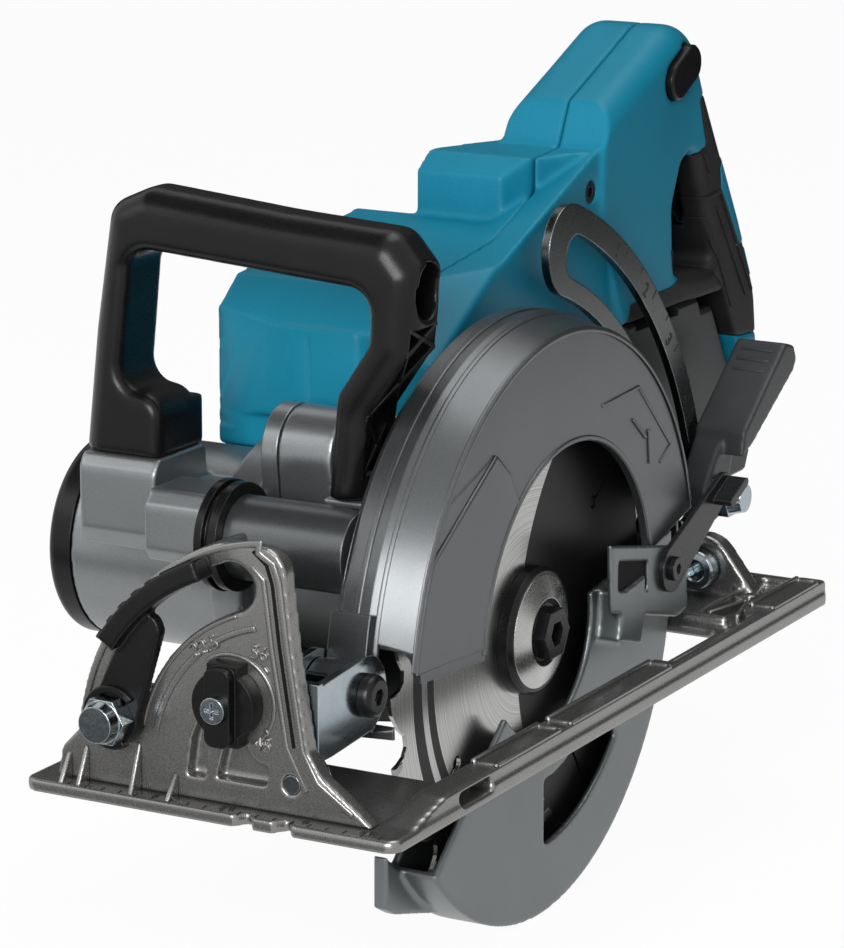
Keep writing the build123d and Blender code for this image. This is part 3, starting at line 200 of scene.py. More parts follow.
def radius_from(nodes, links, coords, centre):
    """Distance in metres from an axis along X through a (y, z) point."""
    shift = nodes.new("ShaderNodeVectorMath")
    shift.operation = "MULTIPLY_ADD"
    shift.inputs[1].default_value = (0.0, 1.0, 1.0)
    shift.inputs[2].default_value = (0.0, -centre[0] * mm, -centre[1] * mm)
    links.new(coords.outputs["Object"], shift.inputs[0])
    length = nodes.new("ShaderNodeVectorMath")
    length.operation = "LENGTH"
    links.new(shift.outputs["Vector"], length.inputs[0])
    return length.outputs["Value"]


def blade_surface(name, steel, print_colour):
    """Ground blade steel, half of its face under a dark print, with fine rings round the arbor."""
    material, nodes, links, shader = new_material(name)
    coords = nodes.new("ShaderNodeTexCoord")
    radius = radius_from(nodes, links, coords, arbor)
    rings = nodes.new("ShaderNodeTexNoise")
    rings.noise_dimensions = "1D"
    rings_per_metre = 1500.0
    rings.inputs["Scale"].default_value = rings_per_metre
    rings.inputs["Detail"].default_value = 2.0
    links.new(radius, rings.inputs["W"])
    smudge = noise_of(nodes, links, coords, 18.0)
    print_centre = (82.0, 20.0)
    print_edge = radius_from(nodes, links, coords, print_centre)
    printed = remap(nodes, links, print_edge, 89.3 * mm, 89.0 * mm, 0.0, 1.0)
    for inner, outer in ((74.0, 80.0), (66.0, 70.5)):
        rise = remap(nodes, links, radius, (inner - 0.1) * mm, (inner + 0.1) * mm, 0.0, 1.0)
        fall = remap(nodes, links, radius, (outer + 0.1) * mm, (outer - 0.1) * mm, 0.0, 1.0)
        stripe = nodes.new("ShaderNodeMath")
        stripe.operation = "MAXIMUM"
        links.new(printed, stripe.inputs[0])
        links.new(multiplied(nodes, links, rise, fall), stripe.inputs[1])
        printed = stripe.outputs["Value"]
    inside = remap(nodes, links, radius, 86.8 * mm, 86.5 * mm, 0.0, 1.0)
    printed = multiplied(nodes, links, printed, inside)
    ringed = remap(nodes, links, rings.outputs["Fac"], 0.3, 0.7, 0.0, 1.0)
    ground = blend_colours(nodes, links, ringed, tint(steel, 0.8), tint(steel, 1.15))
    inked = blend_colours(nodes, links, smudge, tint(print_colour, 0.7), tint(print_colour, 1.4))
    links.new(blend_colours(nodes, links, printed, ground, inked), shader.inputs["Base Color"])
    links.new(remap(nodes, links, printed, 0.0, 1.0, 0.27, 0.42), shader.inputs["Roughness"])
    links.new(remap(nodes, links, printed, 0.0, 1.0, 1.0, 0.0), shader.inputs["Metallic"])
    shader.inputs["Specular IOR Level"].default_value = 0.2
    normal = soft_normal(nodes, links, 0.2)[0]
    links.new(bumped(nodes, links, rings.outputs["Fac"], normal, 0.35, 0.01), shader.inputs["Normal"])
    return material


# The edge colours below are painted lighter edges: partly wear, partly painted highlight.
cast = dict(metal=0.85, vary=0.06, blotch=30.0, grain=0.28, grain_depth=0.009, fleck=0.22, soft=0.8,
            edge=(0.42, 0.41, 0.40), wear_and_highlight_amount=0.35)
plated = dict(metal=1.0, vary=0.10, blotch=12.0, grain=0.6, grain_depth=0.006, soft=0.5,
              edge=(0.72, 0.75, 0.78), wear_and_highlight_amount=0.5)
looks = {
    "cast_grey": surface("cast_base", (0.205, 0.203, 0.197), 0.28, **cast),
    "guard_grey": surface("cast_guard", (0.096, 0.101, 0.104), 0.32, **cast),
    "silver_paint": surface("cast_silver", (0.200, 0.210, 0.215), 0.33, **cast),
    "lower_guard_silver": surface("lower_guard_paint", (0.138, 0.150, 0.154), 0.35, **cast),
    "guide_steel": surface("guide_plating", (0.085, 0.092, 0.092), 0.26, metal=1.0, vary=0.06, blotch=18.0,
                           soft=0.6, edge=(0.72, 0.75, 0.78), wear_and_highlight_amount=0.6),
    "zinc": surface("zinc_plating", (0.33, 0.38, 0.41), 0.16, **plated),
    "inner_steel": surface("turned_steel", (0.45, 0.45, 0.44), 0.28, **plated),
    "iron_core": surface("motor_iron", (0.16, 0.14, 0.12), 0.45, metal=0.9, vary=0.2, blotch=8.0, soft=0.3),
    "blade_steel": blade_surface("blade_face", (0.42, 0.42, 0.41), (0.006, 0.006, 0.0063)),
    "black_steel": surface("black_oxide", (0.010, 0.010, 0.011), 0.30, metal=0.35, vary=0.2, blotch=14.0,
                           grain=0.5, grain_depth=0.01, edge=(0.10, 0.10, 0.10), wear_and_highlight_amount=0.7,
                           specular=0.3),
    "black_plastic": surface("black_plastic", (0.0042, 0.0042, 0.0045), 0.30, vary=0.2, blotch=20.0,
                             grain=0.35, grain_depth=0.02, edge=(0.02, 0.02, 0.02), wear_and_highlight_amount=0.4, soft=0.7,
                             specular=0.22),
    "black_rubber": surface("grip_rubber", (0.010, 0.010, 0.0105), 0.58, vary=0.2, blotch=15.0, grain=0.6,
                            grain_depth=0.06, edge=(0.03, 0.03, 0.03), wear_and_highlight_amount=0.4, specular=0.22),
    "teal_plastic": surface("teal_plastic", (0.0040, 0.165, 0.255), 0.46, vary=0.06, blotch=35.0, grain=0.55,
                            grain_depth=0.05, fleck=0.10, edge=(0.02, 0.26, 0.37), wear_and_highlight_amount=0.5, soft=1.0,
                            specular=0.20),
    "pack_plastic": surface("pack_plastic", (0.030, 0.031, 0.032), 0.46, vary=0.12, blotch=20.0, grain=0.5,
                            grain_depth=0.04, edge=(0.05, 0.05, 0.05), wear_and_highlight_amount=0.4, soft=0.8,
                            specular=0.3),
}
ink = surface("print_ink", (0.006, 0.006, 0.006), 0.5, vary=0.3, blotch=3.0, soft=0.1)
# Near-black material that paints the shade inside grooves and pockets.
painted_shade_hollow = surface("painted_shade_hollow", (0.004, 0.004, 0.004), 0.6, vary=0.3, blotch=6.0, soft=0.2,
                      specular=0.1)
grey_plastic = surface("grey_plastic", (0.034, 0.036, 0.038), 0.42, vary=0.15, blotch=18.0, grain=0.4,
                       grain_depth=0.03, edge=(0.06, 0.06, 0.06), wear_and_highlight_amount=0.4, soft=0.8, specular=0.3)
carbide = surface("carbide_tip", (0.30, 0.30, 0.29), 0.35, metal=1.0, vary=0.15, blotch=1.5, soft=0.1)


# Every solid takes the material of its slot

def dress_solids():
    for node in frame["nodes"].values():
        mesh = node.data
        slot = mesh.materials[0].name.split(".")[0]
        mesh.materials.clear()
        mesh.materials.append(looks[slot])


dress_solids()


# Mesh building

def spot(axis, a, b, c):
    """A point from its two outline coordinates and its height along an axis, in metres."""
    return Vector({"x": (c, a, b), "y": (a, c, b), "z": (a, b, c)}[axis]) * mm


def polar(centre, radius, angle):
    """A point at an angle in degrees round a centre."""
    turn = math.radians(angle)
    return centre[0] + radius * math.cos(turn), centre[1] + radius * math.sin(turn)


def arc(centre, radius, start, stop, step=3.0):
    """Points along an arc."""
    count = max(2, round(abs(stop - start) / step))
    return [polar(centre, radius, start + (stop - start) * i / count) for i in range(count + 1)]


def sector(centre, inner, outer, start, stop):
    """Outline of a ring sector."""
    return arc(centre, outer, start, stop) + arc(centre, inner, stop, start)


def strip(points, width):
    """Outline of a band of one width along a line of points, mitred at its bends."""
    spots = [Vector(point) for point in points]
    runs = [(after - before).normalized() for before, after in zip(spots, spots[1:])]
    sides = ([], [])
    for index, point in enumerate(spots):
        first = runs[max(index - 1, 0)]
        second = runs[min(index, len(runs) - 1)]
        along = (first + second).normalized()
        across = Vector((-along.y, along.x)) * width / 2 / max(along.dot(first), 0.5)
        sides[0].append(tuple(point + across))
        sides[1].append(tuple(point - across))
    return sides[0] + sides[1][::-1]


def box_outline(a0, a1, b0, b1):
    """Outline of a rectangle."""
    return [(a0, b0), (a1, b0), (a1, b1), (a0, b1)]


def add_prism(bm, axis, outline, low, high):
    """An outline extruded along an axis."""
    ends = [[bm.verts.new(spot(axis, a, b, c)) for a, b in outline] for c in (low, high)]
    for ring in ends:
        bm.faces.new(ring)
    count = len(outline)
    for i in range(count):
        j = (i + 1) % count
        bm.faces.new((ends[0][i], ends[0][j], ends[1][j], ends[1][i]))


def add_turned(bm, centre, profile, start, stop, step=2.0):
    """A closed (x, radius) profile turned round an axis along X through a (y, z) point."""
    count = max(3, round(abs(stop - start) / step))
    rings = []
    for i in range(count + 1):
        angle = start + (stop - start) * i / count
        rings.append([bm.verts.new(spot("x", *polar(centre, r, angle), x)) for x, r in profile])
    for first, second in zip(rings, rings[1:]):
        for i in range(len(profile)):
            j = (i + 1) % len(profile)
            bm.faces.new((first[i], first[j], second[j], second[i]))
    if abs(stop - start) < 360:
        bm.faces.new(rings[0])
        bm.faces.new(rings[-1])
    else:
        bmesh.ops.remove_doubles(bm, verts=bm.verts, dist=0.001 * mm)


def add_object(name, data):
    """A new object in the scene."""
    item = bpy.data.objects.new(name, data)
    bpy.context.collection.objects.link(item)
    return item


def settle(piece, body):
    """A piece rides on its body."""
    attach(piece, body)
    return piece


def add_piece(name, bm, body, slot, material=None, bevel=0.25):
    """A finished mesh piece that rides on a body and wears the slot's finish."""
    bmesh.ops.recalc_face_normals(bm, faces=bm.faces)
    mesh = bpy.data.meshes.new(name)
    bm.to_mesh(mesh)
    bm.free()
    for face in mesh.polygons:
        face.use_smooth = True
    mesh.set_sharp_from_angle(angle=sharp_angle)
    mesh.materials.append(material or looks[slot])
    piece = add_object(name, mesh)
    if bevel:
        rounding = piece.modifiers.new("rounding", "BEVEL")
        rounding.width = bevel * mm
        rounding.segments = 2
        rounding.limit_method = "ANGLE"
        rounding.angle_limit = sharp_angle
    return settle(piece, body)


def prisms(name, body, slot, axis, parts, material=None, bevel=0.25):
    """One piece of several (outline, low, high) prisms along an axis."""
    bm = bmesh.new()
    for outline, low, high in parts:
        add_prism(bm, axis, outline, low, high)
    return add_piece(name, bm, body, slot, material, bevel)


def turned(name, body, slot, centre, profile, start, stop):
    """One piece turned round an axis along X."""
    bm = bmesh.new()
    add_turned(bm, centre, profile, start, stop)
    return add_piece(name, bm, body, slot, bevel=0.0)


def number(name, text, size, place, right, up, body, material, depth):
    """Plain numerals that stand proud of a face."""
    data = bpy.data.curves.new(name, "FONT")
    data.body = text
    data.size = size * mm
    data.extrude = depth * mm / 2
    data.bevel_depth = 0.08 * mm
    data.align_x = "CENTER"
    data.align_y = "CENTER"
    data.materials.append(material)
    piece = add_object(name, data)
    right = Vector(right).normalized()
    up = Vector(up).normalized()
    turn = Matrix((right, up, right.cross(up))).transposed().to_4x4()
    piece.matrix_world = Matrix.Translation(Vector(place) * mm) @ turn
    return settle(piece, body)


def trial_prism(axis, outline, low, high):
    """A plain helper solid for cutting."""
    bm = bmesh.new()
    add_prism(bm, axis, outline, low, high)
    bmesh.ops.recalc_face_normals(bm, faces=bm.faces)
    mesh = bpy.data.meshes.new("helper")
    bm.to_mesh(mesh)
    bm.free()
    return add_object("helper", mesh)


def baked(trial, name, material):
    """The final mesh of a helper object and its modifiers; the helper goes."""
    bpy.context.view_layer.update()
    mesh = bpy.data.meshes.new_from_object(trial.evaluated_get(bpy.context.evaluated_depsgraph_get()))
    bpy.data.objects.remove(trial)
    mesh.name = name
    mesh.materials.clear()
    mesh.materials.append(material)
    for face in mesh.polygons:
        face.use_smooth = True
    return mesh


def moulded(name, node, body, slot, voxel, rounds, adds=(), cuts=(), material=None):
    """A cast or moulded form that stands for a solid: remeshed with its extra forms, cut and smoothed."""
    bm = bmesh.new()
    bm.from_mesh(frame["nodes"][node].data)
    for axis, outline, low, high in adds:
        add_prism(bm, axis, outline, low, high)
    form = bpy.data.meshes.new(name)
    bm.to_mesh(form)
    bm.free()
    trial = add_object(name + "_form", form)
    remesh = trial.modifiers.new("remesh", "REMESH")
    remesh.mode = "VOXEL"
    remesh.voxel_size = voxel * mm
    cutters = [trial_prism(*cut) for cut in cuts]
    for cutter in cutters:
        cutting = trial.modifiers.new("cut", "BOOLEAN")
        cutting.operation = "DIFFERENCE"
        cutting.object = cutter
    smooth = trial.modifiers.new("smooth", "SMOOTH")
    smooth.iterations = rounds
    mesh = baked(trial, name, material or looks[slot])
    for cutter in cutters:
        bpy.data.objects.remove(cutter)
    piece = settle(add_object(name, mesh), body)
    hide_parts(node)
    return piece


def inlaid(name, carrier, body, slot, axis, outline, low, high, rise):
    """A raised field on a moulded piece: the part of its skin inside an outline, standing a little proud."""
    swollen = add_object("helper", carrier.data.copy())
    swell = swollen.modifiers.new("swell", "DISPLACE")
    swell.strength = rise * mm
    swell.mid_level = 0.0
    trial = trial_prism(axis, outline, low, high)
    overlap = trial.modifiers.new("overlap", "BOOLEAN")
    overlap.operation = "INTERSECT"
    overlap.object = swollen
    mesh = baked(trial, name, looks[slot])
    bpy.data.objects.remove(swollen)
    mesh.set_sharp_from_angle(angle=sharp_angle)
    return settle(add_object(name, mesh), body)


# Upper guard: rim lines, window lip, raised panels and a plain direction arrow

guard_face = 14.0
window_centre = (6.5, 29.0)


def dress_upper_guard():
    for name, x0, x1, r0, r1, rise in (("guard_rim_line", 0.4, 1.9, 107.4, 107.02, 0.35),
                                       ("guard_rim_step", -7.2, -5.4, 108.0, 108.0, 0.45),
                                       ("guard_face_edge", 13.2, 14.6, 104.2, 103.0, 0.4)):
        profile = [(x0, r0 - 0.8), (x0, r0 + rise), (x1, r1 + rise), (x1, r1 - 0.8)]
        turned(name, "saw_head", "guard_grey", arbor, profile, 14.0, 173.0)
    lip_back, lip_front = guard_face - 0.5, guard_face + 0.5
    lip = [(lip_back, 61.9), (lip_front, 62.3), (lip_front, 63.6), (lip_back, 64.2)]
    turned("guard_window_lip", "saw_head", "guard_grey", window_centre, lip, 11.0, 176.0)
    low_panel = [(-49.5, 99.0), *arc(arbor, 103.4, 153.5, 173.5), (-57.0, 35.5),
                 *arc(window_centre, 65.2, 172, 128), (-40.0, 91.0)]
    facet = [(-49.5, 99.0), *arc(arbor, 103.3, 143.0, 153.0)]
    frame_lines = [strip([(28.4, 99.7), (56.6, 101.0), (82.5, 76.0)], 1.2),
                   strip([(83.2, 75.4), (74.5, 70.5)], 1.2)]
    arrow = [strip([(52.2, 90.3), (62.6, 81.8)], 1.1), strip([(64.9, 84.3), (66.3, 71.9)], 1.4)]
    for name, outlines, sink, rise, bevel in (("guard_low_panel", [low_panel], 0.5, 1.1, 1.0),
                                              ("guard_low_facet", [facet], 0.5, 0.35, 0.3),
                                              ("guard_arrow_frame", frame_lines, 0.2, 0.4, 0.25),
                                              ("guard_arrow", arrow, 0.2, 0.7, 0.2)):
        raised = [(outline, guard_face - sink, guard_face + rise) for outline in outlines]
        prisms(name, "saw_head", "guard_grey", "x", raised, bevel=bevel)


# Front bevel bracket: a soft casting with borders, slot ribs, dial marks and the angle numbers

bracket_face = -153.0


def dress_bracket():
    moulded("bracket_casting", "front_bevel_bracket", "base", "cast_grey", 0.75, 5)
    outer_leg = [(-13.0, 86.4), (-7.8, 83.4), (-5.9, 78.0), (-3.2, 57.0), (2.0, 25.4), (7.4, 15.8),
                 (20.0, 7.4)]
    inner_leg = [(-15.5, 82.0), (-11.2, 78.0), (-8.6, 57.0), (-3.4, 26.0), (3.6, 12.5)]
    groove = [(-15.0, 86.8), (-10.2, 82.9), (-8.2, 77.0), (-5.7, 57.0), (-0.8, 26.0)]
    ribs = [
        strip(arc(bevel_centre, 76.2, 171, 98) + outer_leg, 2.0),
        strip(inner_leg, 1.6),
        sector(bevel_centre, 48.8, 50.9, 104, 168),
        sector(bevel_centre, 54.0, 55.4, 110, 168),
        sector(stop_knob, 14.2, 15.6, -62, 128),
        strip([(-11.2, 50.6), (-9.6, 48.6)], 1.2),
        strip([(-11.2, 30.8), (-9.6, 28.8)], 1.2),
    ]
    prisms("bracket_ribs", "base", "cast_grey", "y",
           [(line, bracket_face - 0.7, bracket_face + 0.6) for line in ribs], bevel=0.35)
    # The groove is painted shade: a near-black strip set into the face.
    prisms("bracket_groove_shade", "base", "cast_grey", "y",
           [(strip(groove, 1.2), bracket_face - 0.12, bracket_face + 0.6)], painted_shade_hollow, 0.0)
    for name, text, x, z, tilt in (("bevel_mark_22", "22.5", -32.4, 54.2, 25),
                                   ("bevel_mark_56", "56", -12.8, 54.6, -4),
                                   ("bevel_mark_45", "45", -11.8, 25.4, -4)):
        turn = math.radians(tilt)
        number(name, text, 6.4, (x, bracket_face - 0.1, z), (math.cos(turn), 0, math.sin(turn)),
               (-math.sin(turn), 0, math.cos(turn)), "base", looks["cast_grey"], 1.2)
    fins = []
    for x, top in ((-84.0, 13.0), (-77.5, 16.0), (-58.0, 20.0), (-44.5, 12.0)):
        outline = [(bracket_face, base_foot), (-159.4, base_foot), (bracket_face, top)]
        fins.append((outline, x, x + 1.8))
    prisms("bracket_fins", "base", "cast_grey", "x", fins, bevel=0.5)


# Bevel lever: black pressed arm with a ridged finger tab and a washer ring

def dress_bevel_lever():
    moulded("bevel_lever_pressing", "bevel_lever", "bevel_clamp", "black_plastic", 0.55, 5)
    ridges = [(sector(bevel_centre, 74.6, 76.2, angle, angle + 2.2), -163.6, -155.0)
              for angle in range(115, 146, 5)]
    prisms("bevel_lever_ridges", "bevel_clamp", "black_plastic", "y", ridges, bevel=0.4)
    ring = sector(bevel_bolt, 8.0, 10.4, 40, 300)
    prisms("bevel_lever_ring", "bevel_clamp", "black_plastic", "y", [(ring, -160.4, -157.0)], bevel=0.5)


# Base plate: a soft casting with ruler marks and numbers, rim ledges and the ribs and posts at its rear

def dress_base():
    moulded("base_casting", "base_plate", "base", "cast_grey", 0.95, 4)
    ruler_start, ruler_step, half_tick = -80.0, 6.25, 0.25
    tick_x = [ruler_start + ruler_step * i for i in range(19)]
    ticks = [(box_outline(x - half_tick, x + half_tick, -159.4, -157.0), base_foot, 4.15) for x in tick_x]
    prisms("ruler_ticks", "base", "cast_grey", "z", ticks, ink, 0.0)
    for name, text, x in (("ruler_5", "5", -49.0), ("ruler_2_left", "2.5", -23.0), ("ruler_0", "0", 5.0),
                          ("ruler_2_right", "2.5", 27.0)):
        number(name, text, 4.2, (x, -155.8, 4.0), (-1, 0, 0), (0, -1, 0), "base", ink, 0.4)
    x0, x1, wide, foot = 28.0, 37.8, 1.6, 8.0
    ledges = []
    for y0, y1 in ((-92.0, -46.0), (-40.0, 38.0), (122.0, 164.0)):
        ledges.append((box_outline(x0, x0 + wide, y0, y1), foot, 10.4))
        ledges.append((box_outline(x1 - wide, x1, y0, y1), foot, 9.7))
        ledges.append((box_outline(x0, x1, y0, y0 + wide), foot, 9.8))
        ledges.append((box_outline(x0, x1, y1 - wide, y1), foot, 9.8))
    prisms("rim_ledges", "base", "cast_grey", "z", ledges, bevel=0.5)
    rear_lines = (
        [(16.0, 114.0), (27.0, 162.0)],
        [(27.0, 114.0), (16.0, 162.0)],
        [(15.5, 138.0), (27.5, 138.0)],
        [(-56.0, 112.0), (-14.0, 144.0)],
        [(-90.0, 112.0), (-62.0, 162.0)],
        [(-62.0, 112.0), (-90.0, 162.0)],
    )
    ribs = [(strip(line, 1.8), base_foot, 7.4) for line in rear_lines]
    prisms("rear_ribs", "base", "cast_grey", "z", ribs, bevel=0.5)
    posts = [(arc(centre, 2.6, 0, 345, 15), base_foot, 8.6)
             for centre in ((21.5, 138.0), (32.5, 158.0), (-76.0, 137.0))]
    prisms("rear_posts", "base", "cast_grey", "z", posts, bevel=0.5)


# Depth guide: stamped scale

def dress_guide():
    face = -17.5
    ticks = []
    for step in range(10):
        angle = 65.0 - 5.0 * step
        inner = 173.4 if step % 2 else 171.8
        ends = [polar(guide_centre, radius, angle) for radius in (inner, 175.6)]
        ticks.append((strip(ends, 0.7), face - 0.2, face + 0.12))
    prisms("guide_ticks", "depth_link", "guide_steel", "x", ticks, ink, 0.0)
    for mark in range(1, 6):
        angle = 67.4 - 10.0 * mark
        turn = math.radians(angle)
        y, z = polar(guide_centre, 170.6, angle)
        number(f"guide_mark_{mark}", str(mark), 7.4, (face, y, z), (0, math.sin(turn), -math.cos(turn)),
               (0, math.cos(turn), math.sin(turn)), "depth_link", ink, 0.25)


# Saw blade: a carbide tip on every tooth, and the bright machined cone of its flange

def dress_blade():
    teeth = 24
    half_kerf = 0.95
    corners = ((94.9, -0.2), (94.9, 1.5), (90.6, 1.1), (90.0, -0.2))
    tips = []
    for tooth in range(teeth):
        angle = -360.0 / teeth * tooth
        outline = [polar(arbor, radius, angle + lead) for radius, lead in corners]
        tips.append((outline, -half_kerf, half_kerf))
    prisms("carbide_tips", "blade_drive", "blade_steel", "x", tips, carbide, 0.1)
    cone = [(5.4, 19.6), (6.0, 19.6), (8.6, 11.6), (5.4, 11.6)]
    turned("flange_cone", "blade_drive", "inner_steel", arbor, cone, 0.0, 360.0)


# Lower guard: a soft pressing, with painted shade on its shelf: a near-black plate where a pocket lies in
# shadow

def dress_lower_guard():
    moulded("lower_guard_shell", "lower_guard", "blade_guard", "lower_guard_silver", 0.8, 5)
    # A near-black plate: painted shade standing in for a shadowed pocket.
    pocket = [(36.8, 44.2), (61.6, 38.9), (61.6, 27.0), (36.8, 32.4)]
    prisms("shelf_pocket_shade", "blade_guard", "lower_guard_silver", "x", [(pocket, 14.8, 15.6)],
           painted_shade_hollow, 0.0)


# Front handle: a smooth moulding, open at its end, with a ribbed hollow down its right leg

def dress_front_handle():
    leg = [(-2.9, 141.5), (-3.8, 133.5), (-18.8, 111.2), (-20.7, 91.0)]
    depth = 6.5
    floor = [(x - depth, z) for x, z in leg]
    recess = floor + [(x + 8.0, z) for x, z in leg[::-1]]
    moulded("handle_moulding", "front_handle", "saw_head", "black_plastic", 0.9, 7,
            cuts=[("y", recess, -71.5, -54.5)])
    front, back = -71.8, -54.2
    half_rib = 0.8
    out = Vector((depth - 1.2, 0.0, 0.0))
    bm = bmesh.new()
    for (x0, z0), (x1, z1) in zip(floor, floor[1:]):
        for y0, y1 in ((front, back), (back, front)):
            along = Vector((x1 - x0, y1 - y0, z1 - z0))
            side = along.cross(out).normalized() * half_rib
            start = Vector((x0 - 0.5, y0, z0))
            corners = [start - side, start + side, start + side + along, start - side + along]
            low = [bm.verts.new(point * mm) for point in corners]
            high = [bm.verts.new((point + out) * mm) for point in corners]
            bm.faces.new(low)
            bm.faces.new(high)
            for i in range(4):
                j = (i + 1) % 4
                bm.faces.new((low[i], low[j], high[j], high[i]))
    add_piece("handle_leg_ribs", bm, "saw_head", "black_plastic", bevel=0.25)


# Motor and gear housings: soft castings, with room for the shaft lock button to move

def dress_housings():
    moulded("motor_casting", "motor_housing", "saw_head", "silver_paint", 0.9, 4)
    button_pocket = ("y", arc(lock_button, 6.6, 0.0, 350.0, 10.0), -66.0, -11.0)
    moulded("gear_casting", "gear_case", "saw_head", "silver_paint", 0.9, 4, cuts=[button_pocket])


# Teal body: soft mouldings with an angled nose, a seam, side notches and a rubber apron

def dress_shells():
    nose = [(-111.8, -10.0), (-111.6, -14.0), (-79.0, -19.8), (-54.0, -19.8), (-49.0, -15.0), (-49.0, -10.0)]
    notches = [("y", [(-113.5, low), (-109.9, low + 1.8), (-113.5, low + 3.6)], -22.0, 30.0)
               for low in (97.4, 114.2)]
    facet = ("z", [(-114.0, -24.0), (-79.4, -24.0), (-79.4, -19.9), (-114.0, -13.2)], 88.0, 140.0)
    seam = ("y", box_outline(-74.0, -72.2, 95.5, 123.5), -24.0, -17.8)
    moulded("shell_left_moulding", "shell_left", "saw_head", "teal_plastic", 1.1, 5,
            adds=[("z", nose, 94.0, 126.5)], cuts=[facet, *notches, seam])
    right = moulded("shell_right_moulding", "shell_right", "saw_head", "teal_plastic", 1.1, 5)
    apron = [(166.5, 127.0), (169.5, 119.0), (175.0, 115.3), (166.0, 113.3), (132.0, 112.6), (129.0, 103.0),
             (216.0, 101.0), (223.0, 108.0), (206.0, 125.0)]
    inlaid("grip_apron", right, "saw_head", "black_rubber", "x", apron, -44.0, -20.0, 0.45)


# Rear handle: soft rubber with raised lines, and the teal inlays on its back edge

def dress_grip():
    grip = moulded("grip_moulding", "rear_grip", "saw_head", "black_rubber", 0.9, 6)
    left, right = -70.0, -24.0
    lines = (
        [(186.0, 141.0), (209.0, 143.0), (240.0, 100.0)],
        [(198.0, 134.5), (221.0, 97.0)],
        [(206.5, 137.0), (234.0, 99.5)],
        [(191.0, 176.0), (190.0, 164.0), (199.0, 152.0)],
    )
    for index, line in enumerate(lines):
        outline = strip(line, 1.4)
        inlaid(f"grip_line_{index + 1}", grip, "saw_head", "black_rubber", "x", outline, left, right, 0.5)
    stripes = [[(209.0, 152.0), (222.0, 160.0), (240.0, 123.0), (225.0, 119.5), (210.0, 143.0)],
               [(233.0, 116.0), (243.0, 119.0), (248.0, 107.0), (239.5, 106.0)]]
    for index, stripe in enumerate(stripes):
        inlaid(f"grip_inlay_{index + 1}", grip, "saw_head", "teal_plastic", "x", stripe, left, right, 0.35)


# Depth lever: a moulded paddle with three thumb ribs

def dress_depth_lever():
    moulded("depth_lever_moulding", "depth_lever", "depth_clamp", "black_plastic", 0.8, 6,
            material=grey_plastic)
    low, top = Vector((171.5, 61.6)), Vector((206.0, 87.4))
    along = (top - low).normalized()
    out = Vector((-along.y, along.x))
    ribs = []
    for share in (0.66, 0.78, 0.90):
        middle = low.lerp(top, share)
        ends = (middle - out * 1.0, middle + out * 0.9)
        ribs.append((strip([tuple(point) for point in ends], 1.6), -13.0, 0.5))
    prisms("lever_thumb_ribs", "depth_clamp", "black_plastic", "x", ribs, grey_plastic, 0.5)


dress_upper_guard()
dress_bracket()
dress_bevel_lever()
dress_base()
dress_guide()
dress_blade()
dress_lower_guard()
dress_front_handle()
dress_housings()
dress_shells()
dress_grip()
dress_depth_lever()


# Camera at the photograph's viewing angle

def place_camera():
    eye = Vector((616.43, -1201.67, 407.77)) * mm
    back = Vector((0.4658, -0.8529, 0.2357)).normalized()
    right = Vector((0.0, 0.0, 1.0)).cross(back).normalized()
    up = back.cross(right)
    turn = Matrix((right, up, back)).transposed().to_4x4()
    roll = Matrix.Rotation(math.radians(0.14), 4, "Z")
    data = bpy.data.cameras.new("camera")
    data.lens = 157.4
    data.sensor_width = 36.0
    data.clip_end = 20.0
    camera = add_object("camera", data)
    camera.matrix_world = Matrix.Translation(eye) @ turn @ roll
    bpy.context.scene.camera = camera


def add_lamp(name, place, aim, size, power):
    """A square soft box that looks at a point."""
    data = bpy.data.lights.new(name, "AREA")
    data.size = size
    data.energy = power
    lamp = add_object(name, data)
    lamp.location = place
    lamp.rotation_euler = (Vector(aim) - Vector(place)).to_track_quat("-Z", "Y").to_euler()


def seen_directly(nodes, links):
    """One for rays from the camera and off gloss or through glass, nought for the light on the object."""
    path = nodes.new("ShaderNodeLightPath")
    value = path.outputs["Is Camera Ray"]
    for other in ("Is Glossy Ray", "Is Transmission Ray"):
        node = nodes.new("ShaderNodeMath")
        node.operation = "MAXIMUM"
        links.new(value, node.inputs[0])
        links.new(path.outputs[other], node.inputs[1])
        value = node.outputs["Value"]
    return value


def light_stage():
    """White backdrop for what the camera and mirrors see, and soft light for the rest."""
    target = (0.0, 0.03, 0.07)
    add_lamp("key_lamp", (0.40, -1.75, 0.75), target, 0.9, 38.0)
    add_lamp("fill_lamp", (-1.30, -1.00, 1.20), target, 1.0, 5.0)
    add_lamp("top_lamp", (0.10, 0.35, 1.70), target, 1.0, 11.0)
    world = bpy.data.worlds.new("studio")
    bpy.context.scene.world = world
    world.use_nodes = True
    nodes = world.node_tree.nodes
    links = world.node_tree.links
    lit = nodes["Background"]
    lit.inputs["Color"].default_value = (0.80, 0.82, 0.85, 1.0)
    lit.inputs["Strength"].default_value = 0.26
    seen = nodes.new("ShaderNodeBackground")
    seen.inputs["Color"].default_value = (1.0, 1.0, 1.0, 1.0)
    mix = nodes.new("ShaderNodeMixShader")
    links.new(seen_directly(nodes, links), mix.inputs[0])
    links.new(lit.outputs["Background"], mix.inputs[1])
    links.new(seen.outputs["Background"], mix.inputs[2])
    links.new(mix.outputs["Shader"], nodes["World Output"].inputs["Surface"])


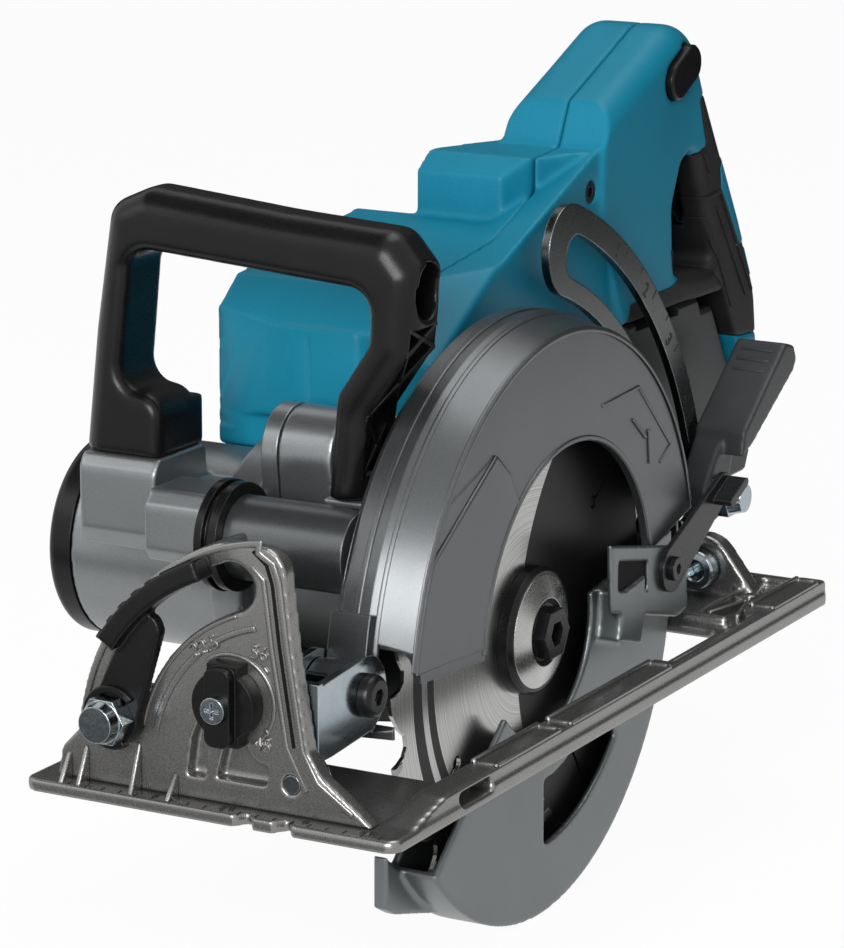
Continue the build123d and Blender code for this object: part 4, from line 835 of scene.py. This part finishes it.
def add_plane(name, corners):
    """A flat stage piece."""
    mesh = bpy.data.meshes.new(name)
    mesh.from_pydata(corners, [], [(0, 1, 2, 3)])
    plane = add_object(name, mesh)
    return plane


floor_height = cad_low[2] - 0.5 * mm
floor_white = 0.95


def add_floor():
    """A wide white paper floor just under the lowest point, which keeps a faint shadow."""
    half = 6.0
    floor = add_plane("floor", [(x, y, floor_height) for x, y in box_outline(-half, half, -half, half)])
    material, nodes, links, shader = new_material("floor_paper")
    shader.inputs["Base Color"].default_value = (0.90, 0.90, 0.90, 1.0)
    shader.inputs["Roughness"].default_value = 0.9
    white = nodes.new("ShaderNodeEmission")
    white.inputs["Strength"].default_value = 1.0
    share = remap(nodes, links, seen_directly(nodes, links), 0.0, 1.0, 0.0, floor_white)
    mix = nodes.new("ShaderNodeMixShader")
    links.new(share, mix.inputs[0])
    links.new(shader.outputs["BSDF"], mix.inputs[1])
    links.new(white.outputs["Emission"], mix.inputs[2])
    links.new(mix.outputs["Shader"], nodes["Material Output"].inputs["Surface"])
    floor.data.materials.append(material)


def add_flags():
    """Dark studio flags, out of the picture, that give the bright metal something dark to mirror."""
    material, _, _, shader = new_material("black_flag")
    shader.inputs["Base Color"].default_value = (0.03, 0.03, 0.03, 1.0)
    shader.inputs["Roughness"].default_value = 0.9
    low = floor_height + 2.0 * mm
    flags = {
        "flag_rear": [(-1.60, 0.70, 0.02), (1.30, 0.54, 0.02), (1.30, 0.54, 0.75), (-1.60, 0.70, 0.75)],
        "flag_front": [(-0.75, -0.50, low), (0.05, -0.54, low), (0.02, -0.26, low), (-0.55, -0.28, low)],
        "flag_over": [(-1.30, -1.00, 1.30), (-0.20, -1.00, 1.30), (-0.20, 0.40, 1.30), (-1.30, 0.40, 1.30)],
    }
    for name, corners in flags.items():
        flag = add_plane(name, corners)
        flag.data.materials.append(material)
        flag.visible_camera = False
        flag.visible_diffuse = False
        flag.visible_shadow = False


place_camera()
light_stage()
add_floor()
add_flags()

scene = bpy.context.scene
scene.view_settings.view_transform = "Standard"
